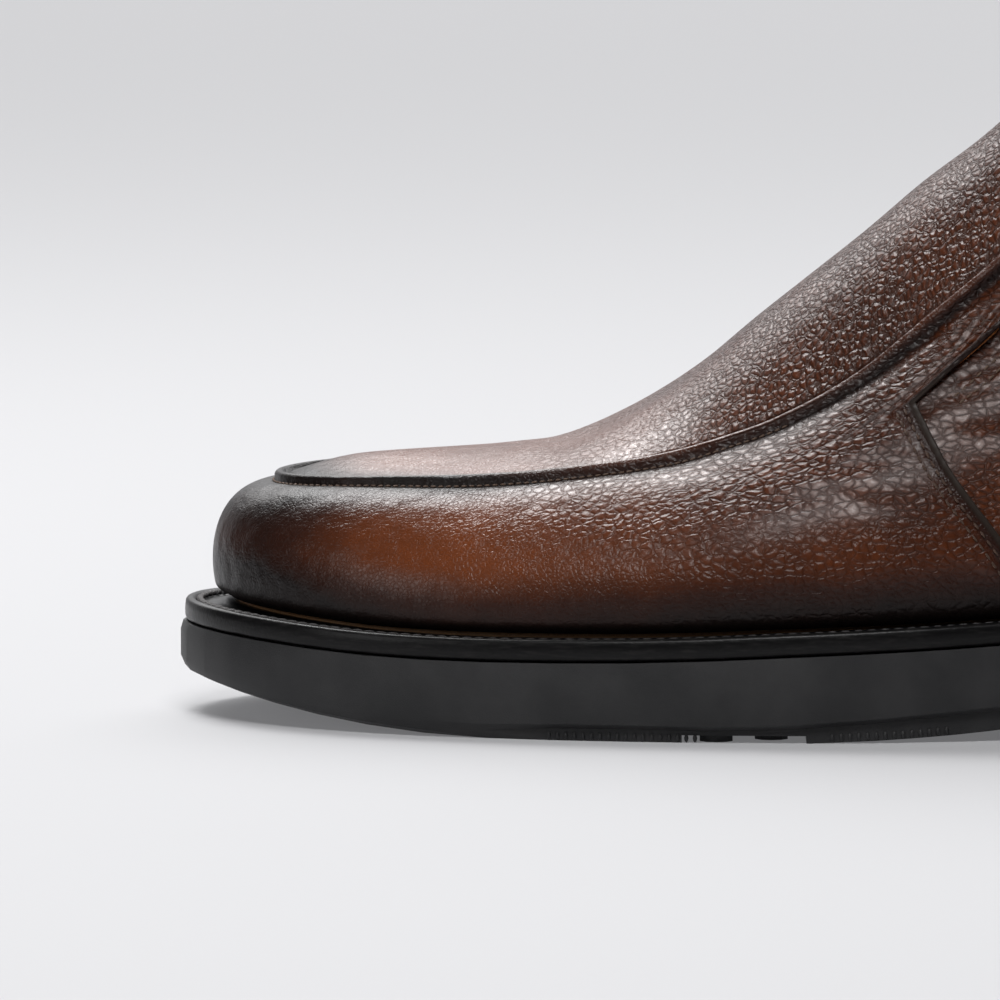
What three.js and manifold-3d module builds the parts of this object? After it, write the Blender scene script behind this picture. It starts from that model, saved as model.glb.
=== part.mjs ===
// A left slip-on shoe with a raised apron seam, in millimetres, +Z up. -X is the toe, -Y the outer side.
// The origin is on the floor, under the middle of the sole.
import * as THREE from "three";
import { mergeVertices } from "three/addons/utils/BufferGeometryUtils.js";
import Module from "manifold-3d";

const wasm = await Module();
wasm.setup();

// Driving sizes of the last
const SOLE_LENGTH = 300;
const BALL_WIDTH = 98; // of the last's lower edge, where the upper meets the welt
const INSTEP_RISE = 86.6; // from that edge to the crest at mid-length
const FOREPART_HEIGHT = 16.9; // from the floor to that edge, under the ball
const HEEL_RISE = 11.7; // how much higher that edge is at the heel
const TOE_LIFT = 2.5; // and at the toe
const APRON_SETBACK = 8.4; // from the edge's toe to the front of the apron seam
const BACK_LEAN = 6; // how far the back of the collar leans in over the heel
const CREST_FRONT = 29; // from the edge's toe to the front end of the crest
const CREST_BACK = 34; // and from its heel to the back end

// Leather and elastic
const WALL = 2.8; // of the vamp with its lining
const QUARTER_STEP = 1.2; // how far the vamp stands over the quarters
const FLAP = 1.1; // thickness of the tongue's free edges
const FLAP_GAP = 0.4; // under them
const ELASTIC = 0.9;
const ELASTIC_LAP = 2.5; // how far the quarter reaches under the free edge
const ELASTIC_START = 1.2; // width of the elastic's slot at its lower end
const ELASTIC_WIDTH = 9; // and at the collar
const SEAM_HEIGHT = 1.4; // of the raised apron seam
const SEAM_WIDTH = 3.6;
const INSOLE = 3.2;

// Welt and rubber sole
const WELT_WIDTH = 5; // beyond the upper, beside the toe cap
const WELT = 3; // thickness
const WELT_LIP = 0.5; // height of the lip outside the stitch channel
const LIP_WIDTH = 1.9;
const WELT_INSIDE = 6; // how far the welt reaches under the upper
const SIDE_SWELL = 0.8; // of the rubber's side beyond the welt
const TOE_SPRING = 7.4;
const SPRING_LENGTH = 52;
const TOE_ROUND = 2.4; // of the rubber's lower edge at the tip
const TREAD_INSET = 1.4; // of the tread's edge
const TREAD_BAND = 2.6; // height of that edge
const ARCH_RISE = 6.5;
const ARCH_START = 110; // behind the tip of the toe
const HEEL_BREAST = 214;
const RELIEF = 1.3; // depth of the channels in the tread
const GROOVE = 2.2; // width of a narrow channel
const STUD_RADIUS = 3;
const STUD_PITCH = 8.6;
const STUD_ROWS = 9.6; // from row to row
const STUD_MARGIN = 6; // from a stud row to the ribbed pads beside it
const GAP = 0.3; // between pieces that touch

// Outline of the last. at is the share of its length from toe to heel. edge_out and edge_in are half widths
// of the lower edge, and seam_out and seam_in of the apron seam, which runs on as the widest line of the
// collar. They are shares of half the ball width, before the sine that rounds the ends. sway and lean move
// the edge and the crest towards the inner side, as shares of half the ball width too.
const OUTLINE = [
  { at: 0, edge_out: 1.32, edge_in: 1.32, seam_out: 1.07, seam_in: 1.07, sway: 0.12, lean: 0.1 },
  { at: 0.05, edge_out: 1.28, edge_in: 1.28, seam_out: 0.9, seam_in: 0.9, sway: 0.11, lean: 0.1 },
  { at: 0.1, edge_out: 1.23, edge_in: 1.23, seam_out: 0.79, seam_in: 0.79, sway: 0.09, lean: 0.09 },
  { at: 0.16, edge_out: 1.17, edge_in: 1.16, seam_out: 0.75, seam_in: 0.75, sway: 0.06, lean: 0.09 },
  { at: 0.25, edge_out: 1.095, edge_in: 1.11, seam_out: 0.706, seam_in: 0.706, sway: 0.02, lean: 0.08 },
  { at: 0.33, edge_out: 1.05, edge_in: 1.02, seam_out: 0.673, seam_in: 0.67, sway: 0, lean: 0.08 },
  { at: 0.42, edge_out: 0.988, edge_in: 0.837, seam_out: 0.61, seam_in: 0.6, sway: 0, lean: 0.07 },
  { at: 0.5, edge_out: 0.888, edge_in: 0.714, seam_out: 0.541, seam_in: 0.541, sway: 0, lean: 0.05 },
  { at: 0.6, edge_out: 0.808, edge_in: 0.667, seam_out: 0.541, seam_in: 0.541, sway: 0, lean: 0.02 },
  { at: 0.7, edge_out: 0.78, edge_in: 0.702, seam_out: 0.635, seam_in: 0.635, sway: 0, lean: 0 },
  { at: 0.8, edge_out: 0.855, edge_in: 0.816, seam_out: 0.753, seam_in: 0.753, sway: 0, lean: 0 },
  { at: 0.9, edge_out: 1.02, edge_in: 1.004, seam_out: 0.884, seam_in: 0.884, sway: 0, lean: 0 },
  { at: 1, edge_out: 1.365, edge_in: 1.365, seam_out: 1.171, seam_in: 1.171, sway: 0, lean: 0 },
];

// Sole edge: welt is the welt's width as a share of WELT_WIDTH, and band the height of the tread's edge as
// a share of TREAD_BAND.
const SOLE_EDGE = [
  { at: 0, welt: 1.24, band: 1 },
  { at: 0.05, welt: 1.18, band: 1 },
  { at: 0.1, welt: 1.08, band: 1 },
  { at: 0.16, welt: 1, band: 1 },
  { at: 0.25, welt: 0.96, band: 1 },
  { at: 0.33, welt: 0.95, band: 1 },
  { at: 0.42, welt: 0.9, band: 1.7 },
  { at: 0.5, welt: 0.8, band: 2.5 },
  { at: 0.6, welt: 0.75, band: 3 },
  { at: 0.7, welt: 0.75, band: 1.4 },
  { at: 0.8, welt: 0.8, band: 1 },
  { at: 0.9, welt: 0.85, band: 1 },
  { at: 1, welt: 0.85, band: 1 },
];

// Side view of the last. pitch and lift are shares of HEEL_RISE and TOE_LIFT. seam and crest are heights
// over the lower edge, as shares of INSTEP_RISE.
const PROFILE = [
  { at: 0, pitch: 0, lift: 1, seam: 0.243, crest: 0.301 },
  { at: 0.08, pitch: 0, lift: 0.25, seam: 0.281, crest: 0.334 },
  { at: 0.12, pitch: 0, lift: 0.06, seam: 0.294, crest: 0.348 },
  { at: 0.16, pitch: 0, lift: 0, seam: 0.306, crest: 0.366 },
  { at: 0.2, pitch: 0.01, lift: 0, seam: 0.32, crest: 0.421 },
  { at: 0.25, pitch: 0.034, lift: 0, seam: 0.341, crest: 0.509 },
  { at: 0.29, pitch: 0.07, lift: 0, seam: 0.37, crest: 0.594 },
  { at: 0.33, pitch: 0.12, lift: 0, seam: 0.411, crest: 0.671 },
  { at: 0.375, pitch: 0.17, lift: 0, seam: 0.486, crest: 0.758 },
  { at: 0.42, pitch: 0.222, lift: 0, seam: 0.593, crest: 0.851 },
  { at: 0.46, pitch: 0.27, lift: 0, seam: 0.69, crest: 0.923 },
  { at: 0.5, pitch: 0.325, lift: 0, seam: 0.793, crest: 1.003 },
  { at: 0.55, pitch: 0.4, lift: 0, seam: 0.845, crest: 1.085 },
  { at: 0.6, pitch: 0.479, lift: 0, seam: 0.845, crest: 1.132 },
  { at: 0.7, pitch: 0.65, lift: 0, seam: 0.776, crest: 1.132 },
  { at: 0.8, pitch: 0.803, lift: 0, seam: 0.732, crest: 1.1 },
  { at: 0.9, pitch: 0.93, lift: 0, seam: 0.749, crest: 1.048 },
  { at: 1, pitch: 1, lift: 0, seam: 0.775, crest: 1.016 },
];

// Fullness of each section. swell and reach push the wall out low down and under the seam, as shares of
// half the ball width. rise and drop are how far up and down they act, as shares of the wall's height. fill
// and round do the same for the top.
const SECTION = [
  { at: 0, swell: 0.053, rise: 0.28, reach: 0.22, drop: 0.07, fill: 0.3, round: 0.4 },
  { at: 0.08, swell: 0.071, rise: 0.3, reach: 0.225, drop: 0.13, fill: 0.32, round: 0.45 },
  { at: 0.16, swell: 0.092, rise: 0.3, reach: 0.25, drop: 0.18, fill: 0.36, round: 0.5 },
  { at: 0.25, swell: 0.102, rise: 0.32, reach: 0.285, drop: 0.2, fill: 0.39, round: 0.5 },
  { at: 0.33, swell: 0.112, rise: 0.32, reach: 0.305, drop: 0.19, fill: 0.41, round: 0.52 },
  { at: 0.42, swell: 0.122, rise: 0.34, reach: 0.225, drop: 0.27, fill: 0.44, round: 0.52 },
  { at: 0.5, swell: 0.143, rise: 0.34, reach: 0.122, drop: 0.29, fill: 0.46, round: 0.5 },
  { at: 0.6, swell: 0.122, rise: 0.33, reach: 0.071, drop: 0.3, fill: 0.46, round: 0.5 },
  { at: 0.8, swell: 0.096, rise: 0.3, reach: 0.061, drop: 0.3, fill: 0.46, round: 0.5 },
  { at: 1, swell: 0.092, rise: 0.3, reach: 0.061, drop: 0.3, fill: 0.46, round: 0.5 },
];

// Cut lines in the side view. along is the share of SOLE_LENGTH behind the toe's tip, and up the share of
// INSTEP_RISE over the lower edge at the throat.
const REAR_SEAM = [
  { along: 0.53, up: -0.3 },
  { along: 0.505, up: 0.015 },
  { along: 0.48, up: 0.16 },
  { along: 0.447, up: 0.315 },
  { along: 0.4257, up: 0.45 },
];
const FREE_EDGE = [
  { along: 0.4257, up: 0.45 },
  { along: 0.48, up: 0.605 },
  { along: 0.55, up: 0.875 },
];
const COLLAR = [
  { along: 0.522, up: 1.105 },
  { along: 0.55, up: 0.875 },
  { along: 0.575, up: 0.775 },
  { along: 0.64, up: 0.69 },
  { along: 0.74, up: 0.655 },
  { along: 0.84, up: 0.7 },
  { along: 0.93, up: 0.79 },
  { along: 1.02, up: 0.83 },
];
// Underside of the waist: along is the share of the way from ARCH_START to HEEL_BREAST, and up the share of
// ARCH_RISE.
const ARCH = [
  { along: 0, up: 0 },
  { along: 0.16, up: 0.11 },
  { along: 0.33, up: 0.33 },
  { along: 0.53, up: 0.7 },
  { along: 0.73, up: 0.94 },
  { along: 1, up: 1 },
];

const HALF_BALL = BALL_WIDTH / 2;
const HALF_LENGTH = SOLE_LENGTH / 2;
const SKY = INSTEP_RISE * 3;
const station = (behindToe) => behindToe - HALF_LENGTH;

// A smooth value of one column of a table, between its rows.
function column(table, name, at) {
  const last = table.length - 1;
  let i = 0;
  while (i < last - 1 && at > table[i + 1].at) i += 1;
  const slope = (k) => {
    const before = table[Math.max(k - 1, 0)];
    const after = table[Math.min(k + 1, last)];
    return (after[name] - before[name]) / (after.at - before.at);
  };
  const low = table[i];
  const high = table[i + 1];
  const span = high.at - low.at;
  const t = (at - low.at) / span;
  const rest = 1 - t;
  const values = low[name] * (1 + 2 * t) * rest * rest + high[name] * t * t * (3 - 2 * t);
  return values + span * t * rest * (slope(i) * rest - slope(i + 1) * t);
}

// A turn goes round the shoe: 0 at the toe, pi at the heel, and negative on the outer side.
const shareAt = (turn) => (1 - Math.cos(turn)) / 2;
const weltWidth = (at) => WELT_WIDTH * column(SOLE_EDGE, "welt", at);

function edgeHeight(at) {
  const pitch = HEEL_RISE * column(PROFILE, "pitch", at);
  return FOREPART_HEIGHT + pitch + TOE_LIFT * column(PROFILE, "lift", at);
}

// The lower edge, seam and crest of the last at one turn, and the way that faces out.
function rib(turn) {
  const at = shareAt(turn);
  const side = turn < 0 ? "_out" : "_in";
  const toe = station(weltWidth(0) + SIDE_SWELL);
  const heel = -station(weltWidth(1) + SIDE_SWELL);
  const between = (front, back) => toe + front + (heel - back - toe - front) * at;
  const half = (name) => HALF_BALL * column(OUTLINE, name + side, at) * Math.sin(turn);
  const rise = (name) => edgeHeight(at) + INSTEP_RISE * column(PROFILE, name, at);
  const sway = HALF_BALL * column(OUTLINE, "sway", at);
  const lean = HALF_BALL * column(OUTLINE, "lean", at);
  const edge = new THREE.Vector3(between(0, 0), sway + half("edge"), edgeHeight(at));
  const seamX = between(APRON_SETBACK, BACK_LEAN);
  const seam = new THREE.Vector3(seamX, (sway + lean) / 2 + half("seam"), rise("seam"));
  const crest = new THREE.Vector3(between(CREST_FRONT, CREST_BACK), lean, rise("crest"));
  const out = new THREE.Vector3(-Math.cos(turn) * HALF_BALL, Math.sin(turn) * HALF_LENGTH, 0);
  return { at, edge, seam, crest, out: out.normalize() };
}

// A point of the last's skin. up is 0 at the lower edge, 1 at the seam and 2 at the crest.
function lastPoint(turn, up) {
  const { at, edge, seam, crest, out } = rib(turn);
  const share = (name) => column(SECTION, name, at);
  if (up <= 1) {
    const wall = seam.z - edge.z;
    const low = edge.clone().addScaledVector(out, HALF_BALL * share("swell"));
    const high = seam.clone().addScaledVector(out, HALF_BALL * share("reach"));
    low.z += wall * share("rise");
    high.z -= wall * share("drop");
    return new THREE.CubicBezierCurve3(edge, low, high, seam).getPoint(up);
  }
  const inward = crest.clone().sub(seam).setZ(0);
  const low = seam.clone().addScaledVector(inward, 0.25);
  const high = crest.clone().addScaledVector(inward, -share("round"));
  low.z += (crest.z - seam.z) * share("fill");
  return new THREE.CubicBezierCurve3(seam, low, high, crest).getPoint(up - 1);
}

function lastNormal(turn, up) {
  const step = 1e-3;
  const low = Math.min(Math.max(up - step, 0), 2 - 2 * step);
  const high = Math.min(up + step, 2 - step);
  const round = lastPoint(turn + step, up).sub(lastPoint(turn - step, up));
  const rise = lastPoint(turn, high).sub(lastPoint(turn, low));
  return rise.cross(round).normalize();
}

function solidFromIndexed(positions, index) {
  const made = (corners) => {
    const vertProperties = new Float32Array(positions);
    const triVerts = new Uint32Array(corners);
    return new wasm.Manifold(new wasm.Mesh({ numProp: 3, vertProperties, triVerts }));
  };
  const solid = made(index);
  if (solid.volume() > 0) return solid;
  return made(index.toReversed());
}

function solidFrom(geometry) {
  const bare = geometry.clone();
  bare.deleteAttribute("normal");
  bare.deleteAttribute("uv");
  const merged = mergeVertices(bare, 1e-4);
  return solidFromIndexed([...merged.attributes.position.array], [...merged.index.array]);
}

const RIBS = 30; // from toe to heel, on each side
const TURNS = Array.from({ length: 2 * RIBS }, (_, i) => (Math.PI * (i - RIBS)) / RIBS);

// A closed body through a list of points at each turn, closed from side to side below, and also above
// unless its last points meet on the crest.
function body(pointsAt, crested = false) {
  const columns = TURNS.map(pointsAt);
  const rows = columns[0].length;
  const id = (j, k) => {
    const round = (j + 2 * RIBS) % (2 * RIBS);
    const mirrored = crested && k === rows - 1 && round > RIBS ? 2 * RIBS - round : round;
    return mirrored * rows + k;
  };
  const faces = [];
  for (let j = 0; j < 2 * RIBS; j += 1) {
    for (let k = 0; k < rows - 1; k += 1) {
      faces.push([id(j, k), id(j + 1, k + 1), id(j + 1, k)]);
      faces.push([id(j, k), id(j, k + 1), id(j + 1, k + 1)]);
    }
  }
  for (const k of crested ? [0] : [0, rows - 1]) {
    for (let j = 0; j < RIBS; j += 1) {
      const [a, b] = [id(RIBS - j, k), id(RIBS - j - 1, k)];
      const [c, d] = [id(RIBS + j + 1, k), id(RIBS + j, k)];
      const lid = [[a, c, b], [a, d, c]];
      for (const face of lid) faces.push(k === 0 ? face : face.toReversed());
    }
  }
  const sound = faces.filter(([a, b, c]) => a !== b && b !== c && c !== a);
  return solidFromIndexed(columns.flat().flatMap((point) => point.toArray()), sound.flat());
}

// A ring round the shoe, through a closed section at each turn.
function ring(sectionAt) {
  const columns = TURNS.map(sectionAt);
  const rows = columns[0].length;
  const faces = [];
  columns.forEach((_, j) => {
    const next = (j + 1) % columns.length;
    for (let k = 0; k < rows; k += 1) {
      const up = (k + 1) % rows;
      faces.push([j * rows + k, next * rows + up, next * rows + k]);
      faces.push([j * rows + k, j * rows + up, next * rows + up]);
    }
  });
  return solidFromIndexed(columns.flat().flatMap((point) => point.toArray()), faces.flat());
}

const WALL_ROWS = [0.06, 0.14, 0.25, 0.38, 0.52, 0.66, 0.8];
const TOP_ROWS = [1.22, 1.45, 1.7];
const SEAM_END = 0.52; // share of the length where the raised seam has sunk into the leather
const SEAM_FADE = 0.08;

// Half the raised seam's width as a step of up, measured over a short step down or up the skin.
function halfSeam(turn, step) {
  return (Math.abs(step) * SEAM_WIDTH) / 2 / lastPoint(turn, 1 + step).distanceTo(lastPoint(turn, 1));
}

// The last with its skin moved out by a distance. depth carries it below its lower edge.
function last(distance, { raised = false, depth = 0 } = {}) {
  return body((turn) => {
    const skin = (up, more = 0) => {
      return lastPoint(turn, up).addScaledVector(lastNormal(turn, up), distance + more);
    };
    const ridge = () => {
      const height = SEAM_HEIGHT * THREE.MathUtils.smoothstep(SEAM_END - shareAt(turn), 0, SEAM_FADE);
      const below = halfSeam(turn, -0.1);
      const above = halfSeam(turn, 0.1);
      return [
        skin(1 - below),
        skin(1 - below * 0.6, height * 0.8),
        skin(1 + above * 0.2, height),
        skin(1 + above),
      ];
    };
    const foot = skin(0);
    const lowered = depth ? [foot.clone().setZ(foot.z - depth)] : [];
    const wall = WALL_ROWS.map((up) => skin(up));
    const top = TOP_ROWS.map((up) => skin(up));
    const crest = lastPoint(turn, 2);
    crest.z += distance;
    return [...lowered, foot, ...wall, ...(raised ? ridge() : [skin(1)]), ...top, crest];
  }, true);
}

// A prism across the whole shoe from its outline in the side view, in millimetres behind the toe's tip and
// over the floor.
function across(outline, from = -BALL_WIDTH, to = BALL_WIDTH) {
  const shape = new THREE.Shape(outline.map(([behindToe, z]) => new THREE.Vector2(station(behindToe), z)));
  const geometry = new THREE.ExtrudeGeometry(shape, { depth: to - from, bevelEnabled: false });
  geometry.rotateX(Math.PI / 2);
  geometry.translate(0, to, 0);
  return solidFrom(geometry);
}

const THROAT_BASE = edgeHeight(0.42);

function sideLine(table, pieces) {
  const place = ({ along, up }) => new THREE.Vector2(along * SOLE_LENGTH, THROAT_BASE + up * INSTEP_RISE);
  const knots = table.map(place);
  return new THREE.SplineCurve(knots).getPoints(pieces).map(({ x, y }) => [x, y]);
}

const rearSeam = sideLine(REAR_SEAM, 12);
const freeEdge = sideLine(FREE_EDGE, 8);
const collar = sideLine(COLLAR, 24);

// The free edge of the tongue, shifted towards the tongue by one distance at its foot and another at the
// collar, and lengthened past the collar.
function besideFreeEdge(atFoot, atCollar) {
  const foot = new THREE.Vector2(...freeEdge[0]);
  const top = new THREE.Vector2(...freeEdge[freeEdge.length - 1]);
  const way = top.clone().sub(foot).normalize();
  const line = freeEdge.map(([x, z], i) => {
    const shift = atFoot + ((atCollar - atFoot) * i) / (freeEdge.length - 1);
    return [x - way.y * shift, z + way.x * shift];
  });
  const [endX, endZ] = line[line.length - 1];
  const past = top.distanceTo(foot) / 3;
  return [...line, [endX + way.x * past, endZ + way.y * past]];
}

function freeEdgeBand(near, far) {
  return across([...besideFreeEdge(...near), ...besideFreeEdge(...far).toReversed()]);
}

// The upper: vamp with tongue over two quarters, open at the collar and underneath
function makeUpper() {
  const vampLine = [...rearSeam, ...freeEdge.slice(1)];
  const behindTongue = freeEdge[freeEdge.length - 1][0] + WALL;
  const vampSide = across([[-SOLE_LENGTH, -SKY], ...vampLine, [behindTongue, SKY], [-SOLE_LENGTH, SKY]]);
  const vamp = last(0, { raised: true }).intersect(vampSide);
  const shell = vamp.add(last(-QUARTER_STEP)).subtract(last(-WALL, { depth: WELT_INSIDE }));
  const farSide = [ELASTIC_LAP + ELASTIC_START, ELASTIC_LAP + ELASTIC_WIDTH];
  const pocket = freeEdgeBand([-FLAP, -FLAP], [farSide[0] + GAP, farSide[1] + ELASTIC_LAP]);
  const slot = freeEdgeBand([ELASTIC_LAP, ELASTIC_LAP], farSide);
  const gap = last(-FLAP).subtract(last(-FLAP - FLAP_GAP)).intersect(pocket);
  const opening = across([...collar, [SOLE_LENGTH * 2, SKY], [collar[0][0], SKY]]);
  return shell.subtract(gap).subtract(last(-FLAP).intersect(slot)).subtract(opening);
}

// The elastic under one free edge: side is -1 for the outer side and 1 for the inner
function makeElastic(side) {
  const near = ELASTIC_LAP + GAP;
  const far = ELASTIC_LAP - GAP;
  const slot = freeEdgeBand([near, near], [far + ELASTIC_START, far + ELASTIC_WIDTH]);
  const middle = (FLAP + FLAP_GAP + WALL) / 2;
  const sheet = last(ELASTIC / 2 - middle).subtract(last(-ELASTIC / 2 - middle)).intersect(slot);
  const lowered = collar.map(([x, z]) => [x, z - GAP]);
  const opening = across([...lowered, [SOLE_LENGTH * 2, SKY], [collar[0][0], SKY]]);
  const wholeSide = [[0, 0], [SOLE_LENGTH, 0], [SOLE_LENGTH, SKY], [0, SKY]];
  const half = side < 0 ? across(wholeSide, -BALL_WIDTH, 0) : across(wholeSide, 0, BALL_WIDTH);
  return sheet.subtract(opening).intersect(half);
}

// A point beside the last's lower edge: out from it, and over the floor.
const beside = ({ edge, out }, distance, z) => edge.clone().addScaledVector(out, distance).setZ(z);

// The welt: a strip round the shoe with a stitch channel inside its lip
function makeWelt() {
  return ring((turn) => {
    const here = rib(turn);
    const width = weltWidth(here.at);
    const top = here.edge.z - GAP;
    const lip = here.edge.z + WELT_LIP;
    return [
      beside(here, -WELT_INSIDE, top - WELT),
      beside(here, -WELT_INSIDE, top),
      beside(here, width - LIP_WIDTH, top),
      beside(here, width - LIP_WIDTH * 0.8, lip - WELT_LIP * 0.2),
      beside(here, width - LIP_WIDTH * 0.45, lip),
      beside(here, width - LIP_WIDTH * 0.1, lip - WELT_LIP * 0.6),
      beside(here, width, top - WELT * 0.3),
      beside(here, width, top - WELT),
    ];
  });
}

function springHeight(behindToe) {
  return TOE_SPRING * Math.max(1 - behindToe / SPRING_LENGTH, 0) ** 2;
}

// The rubber without its tread: it fills the welt from below and steps in along the floor
function makeSoleBody() {
  return body((turn) => {
    const here = rib(turn);
    const width = weltWidth(here.at);
    const shelf = here.edge.z - GAP - WELT - GAP;
    const ground = springHeight(here.edge.x + HALF_LENGTH - width);
    const stepped = THREE.MathUtils.smoothstep(here.at, 0.12, 0.22);
    const band = TREAD_BAND * column(SOLE_EDGE, "band", here.at);
    const low = (rounded, inset, height) => {
      const drawnIn = THREE.MathUtils.lerp(rounded[0], inset, stepped);
      const z = ground + THREE.MathUtils.lerp(rounded[1], height, stepped);
      return beside(here, width + SIDE_SWELL - drawnIn, z);
    };
    return [
      low([TOE_ROUND, 0], TREAD_INSET, 0),
      low([TOE_ROUND * 0.3, TOE_ROUND * 0.3], TREAD_INSET, band - TREAD_INSET * 0.3),
      low([0, TOE_ROUND], 0, band + TREAD_INSET * 0.3),
      beside(here, width + SIDE_SWELL, THREE.MathUtils.lerp(ground + TOE_ROUND, shelf, 0.75)),
      beside(here, width + SIDE_SWELL * 0.4, shelf),
      beside(here, -WELT_INSIDE - GAP, shelf),
      beside(here, -WELT_INSIDE - GAP, here.edge.z - GAP),
    ];
  });
}

// Places behind the toe's tip as shares of SOLE_LENGTH: the first row of the studs under the ball and under
// the heel, and the grooves across the heel.
const STUD_FIELDS = [0.312, 0.86];
const GROOVES = [0.755, 0.795, 0.955];

function makeOutsole() {
  const archLength = HEEL_BREAST - ARCH_START;
  const place = ({ along, up }) => new THREE.Vector2(ARCH_START + along * archLength, up * ARCH_RISE);
  const knots = ARCH.map(place);
  const arch = new THREE.SplineCurve(knots).getPoints(14).map(({ x, y }) => [x, y]);
  let sole = makeSoleBody().subtract(across([...arch, [HEEL_BREAST, -SKY], [ARCH_START, -SKY]]));
  for (const along of GROOVES) {
    const start = along * SOLE_LENGTH;
    const roof = springHeight(start) + RELIEF;
    const end = start + GROOVE;
    sole = sole.subtract(across([[start, -SKY], [start, roof], [end, roof], [end, -SKY]]));
  }
  for (const along of STUD_FIELDS) {
    const start = along * SOLE_LENGTH;
    const from = start - STUD_MARGIN;
    const to = start + STUD_ROWS + STUD_MARGIN;
    const field = across([[from, -SKY], [from, RELIEF], [to, RELIEF], [to, -SKY]]);
    const studs = [start, start + STUD_ROWS].flatMap((behindToe, row) => studRow(sole, behindToe, row));
    sole = studs.reduce((whole, stud) => whole.add(stud), sole.subtract(field));
  }
  return sole;
}

// The studs of one row that fit inside the tread's edge, with every second row set off by half a pitch
function studRow(sole, behindToe, row) {
  const slice = across([[behindToe, 0], [behindToe + 1, 0], [behindToe + 1, 1], [behindToe, 1]]);
  const { min, max } = sole.intersect(slice).boundingBox();
  const inside = STUD_RADIUS + TREAD_INSET / 2;
  const room = max[1] - min[1] - 2 * inside;
  const count = Math.floor(room / STUD_PITCH) - (row % 2);
  const middle = (max[1] + min[1]) / 2;
  return Array.from({ length: count + 1 }, (_, i) => {
    const stud = new THREE.CylinderGeometry(STUD_RADIUS, STUD_RADIUS, 2 * RELIEF, 10);
    stud.rotateX(Math.PI / 2);
    stud.translate(station(behindToe), middle + (i - count / 2) * STUD_PITCH, RELIEF);
    return solidFrom(stud);
  });
}

// The insole: a thick sock that lies on the welt, inside the wall
function makeInsole() {
  const plate = body((turn) => {
    const here = rib(turn);
    const { z } = here.edge;
    const inner = -WELT_INSIDE - GAP;
    return [
      beside(here, inner, z),
      beside(here, WALL, z),
      beside(here, WALL, z + INSOLE),
      beside(here, inner, z + INSOLE),
    ];
  });
  return last(-WALL - GAP, { depth: WALL }).intersect(plate);
}

const MATERIALS = {
  leather: { color: 0x5a2d17, roughness: 0.42, metalness: 0 },
  welt: { color: 0x15110f, roughness: 0.28, metalness: 0 },
  rubber: { color: 0x17181a, roughness: 0.7, metalness: 0 },
  sock: { color: 0xa8794a, roughness: 0.6, metalness: 0 },
  elastic: { color: 0x2a1d17, roughness: 0.9, metalness: 0 },
};

function piece(name, solid, material) {
  const { vertProperties, triVerts, numProp } = solid.getMesh();
  const buffer = new THREE.InterleavedBuffer(vertProperties, numProp);
  const geometry = new THREE.BufferGeometry();
  geometry.setAttribute("position", new THREE.InterleavedBufferAttribute(buffer, 3, 0));
  geometry.setIndex(new THREE.BufferAttribute(triVerts, 1));
  const mesh = new THREE.Mesh(geometry, new THREE.MeshStandardMaterial(MATERIALS[material]));
  mesh.name = name;
  return mesh;
}

const shoe = new THREE.Group();
shoe.add(
  piece("outsole", makeOutsole(), "rubber"),
  piece("welt", makeWelt(), "welt"),
  piece("upper", makeUpper(), "leather"),
  piece("insole", makeInsole(), "sock"),
  piece("elastic_outer", makeElastic(-1), "elastic"),
  piece("elastic_inner", makeElastic(1), "elastic"),
);

export default shoe;
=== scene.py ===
"""Left leather slip-on shoe: grained upper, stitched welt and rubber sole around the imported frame.

Lengths are millimetres until a mesh is made, and metres in the studio. -X is the toe, -Y the outer
side, +Z up.
"""

import math

import bmesh
import bpy
import numpy as np
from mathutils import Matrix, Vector


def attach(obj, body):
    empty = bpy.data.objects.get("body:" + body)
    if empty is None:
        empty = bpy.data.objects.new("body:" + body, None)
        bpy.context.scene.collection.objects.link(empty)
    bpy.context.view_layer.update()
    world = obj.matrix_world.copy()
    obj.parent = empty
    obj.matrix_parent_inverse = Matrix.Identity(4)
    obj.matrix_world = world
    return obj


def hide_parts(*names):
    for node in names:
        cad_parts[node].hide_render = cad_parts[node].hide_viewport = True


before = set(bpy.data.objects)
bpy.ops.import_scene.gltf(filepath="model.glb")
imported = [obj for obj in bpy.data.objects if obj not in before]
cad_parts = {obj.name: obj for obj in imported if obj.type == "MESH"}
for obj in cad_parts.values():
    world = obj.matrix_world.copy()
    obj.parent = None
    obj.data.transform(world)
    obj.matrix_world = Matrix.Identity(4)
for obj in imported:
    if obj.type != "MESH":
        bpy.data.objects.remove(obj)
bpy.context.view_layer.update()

# Main sizes, as in the part's source
METRES = 0.001
SOLE_LENGTH = 300
HALF_BALL = 49
HALF_LENGTH = SOLE_LENGTH / 2
INSTEP_RISE = 86.6
FOREPART_HEIGHT = 16.9
HEEL_RISE = 11.7
TOE_LIFT = 2.5
APRON_SETBACK = 8.4
BACK_LEAN = 6
CREST_FRONT = 29
CREST_BACK = 34
WALL = 2.8
WELT_WIDTH = 5
WELT = 3
WELT_LIP = 0.5
LIP_WIDTH = 1.9
WELT_INSIDE = 6
SIDE_SWELL = 0.8
GAP = 0.3

# Leather pieces; faces are measured outwards from the last
LEATHER = 1.1  # thickness of the vamp
THINNEST = 0.5  # leather left under a crease or a stitch channel
QUARTER_TOP = -1.2
QUARTER_BACK = -2.15
LINING_TOP = -2.22
LINING_THINNEST = 0.3
SEAM_HEIGHT = 1.15  # of the raised apron seam
SEAM_HALF = 1.35  # half its width
SEAM_END = 0.52  # share of the shoe's length where it has run out
SEAM_FADE = 0.08
ELASTIC_LAP = 2.5
QUARTER_START = 121  # behind the toe, hidden under the vamp
WALL_ROUND = 1.13  # length of the side wall's arc over its chord
TOP_ROUND = 1.07  # the same for the top, from the apron seam to the crest
FAR = 99.0  # past the reach of any seam or edge

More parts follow.
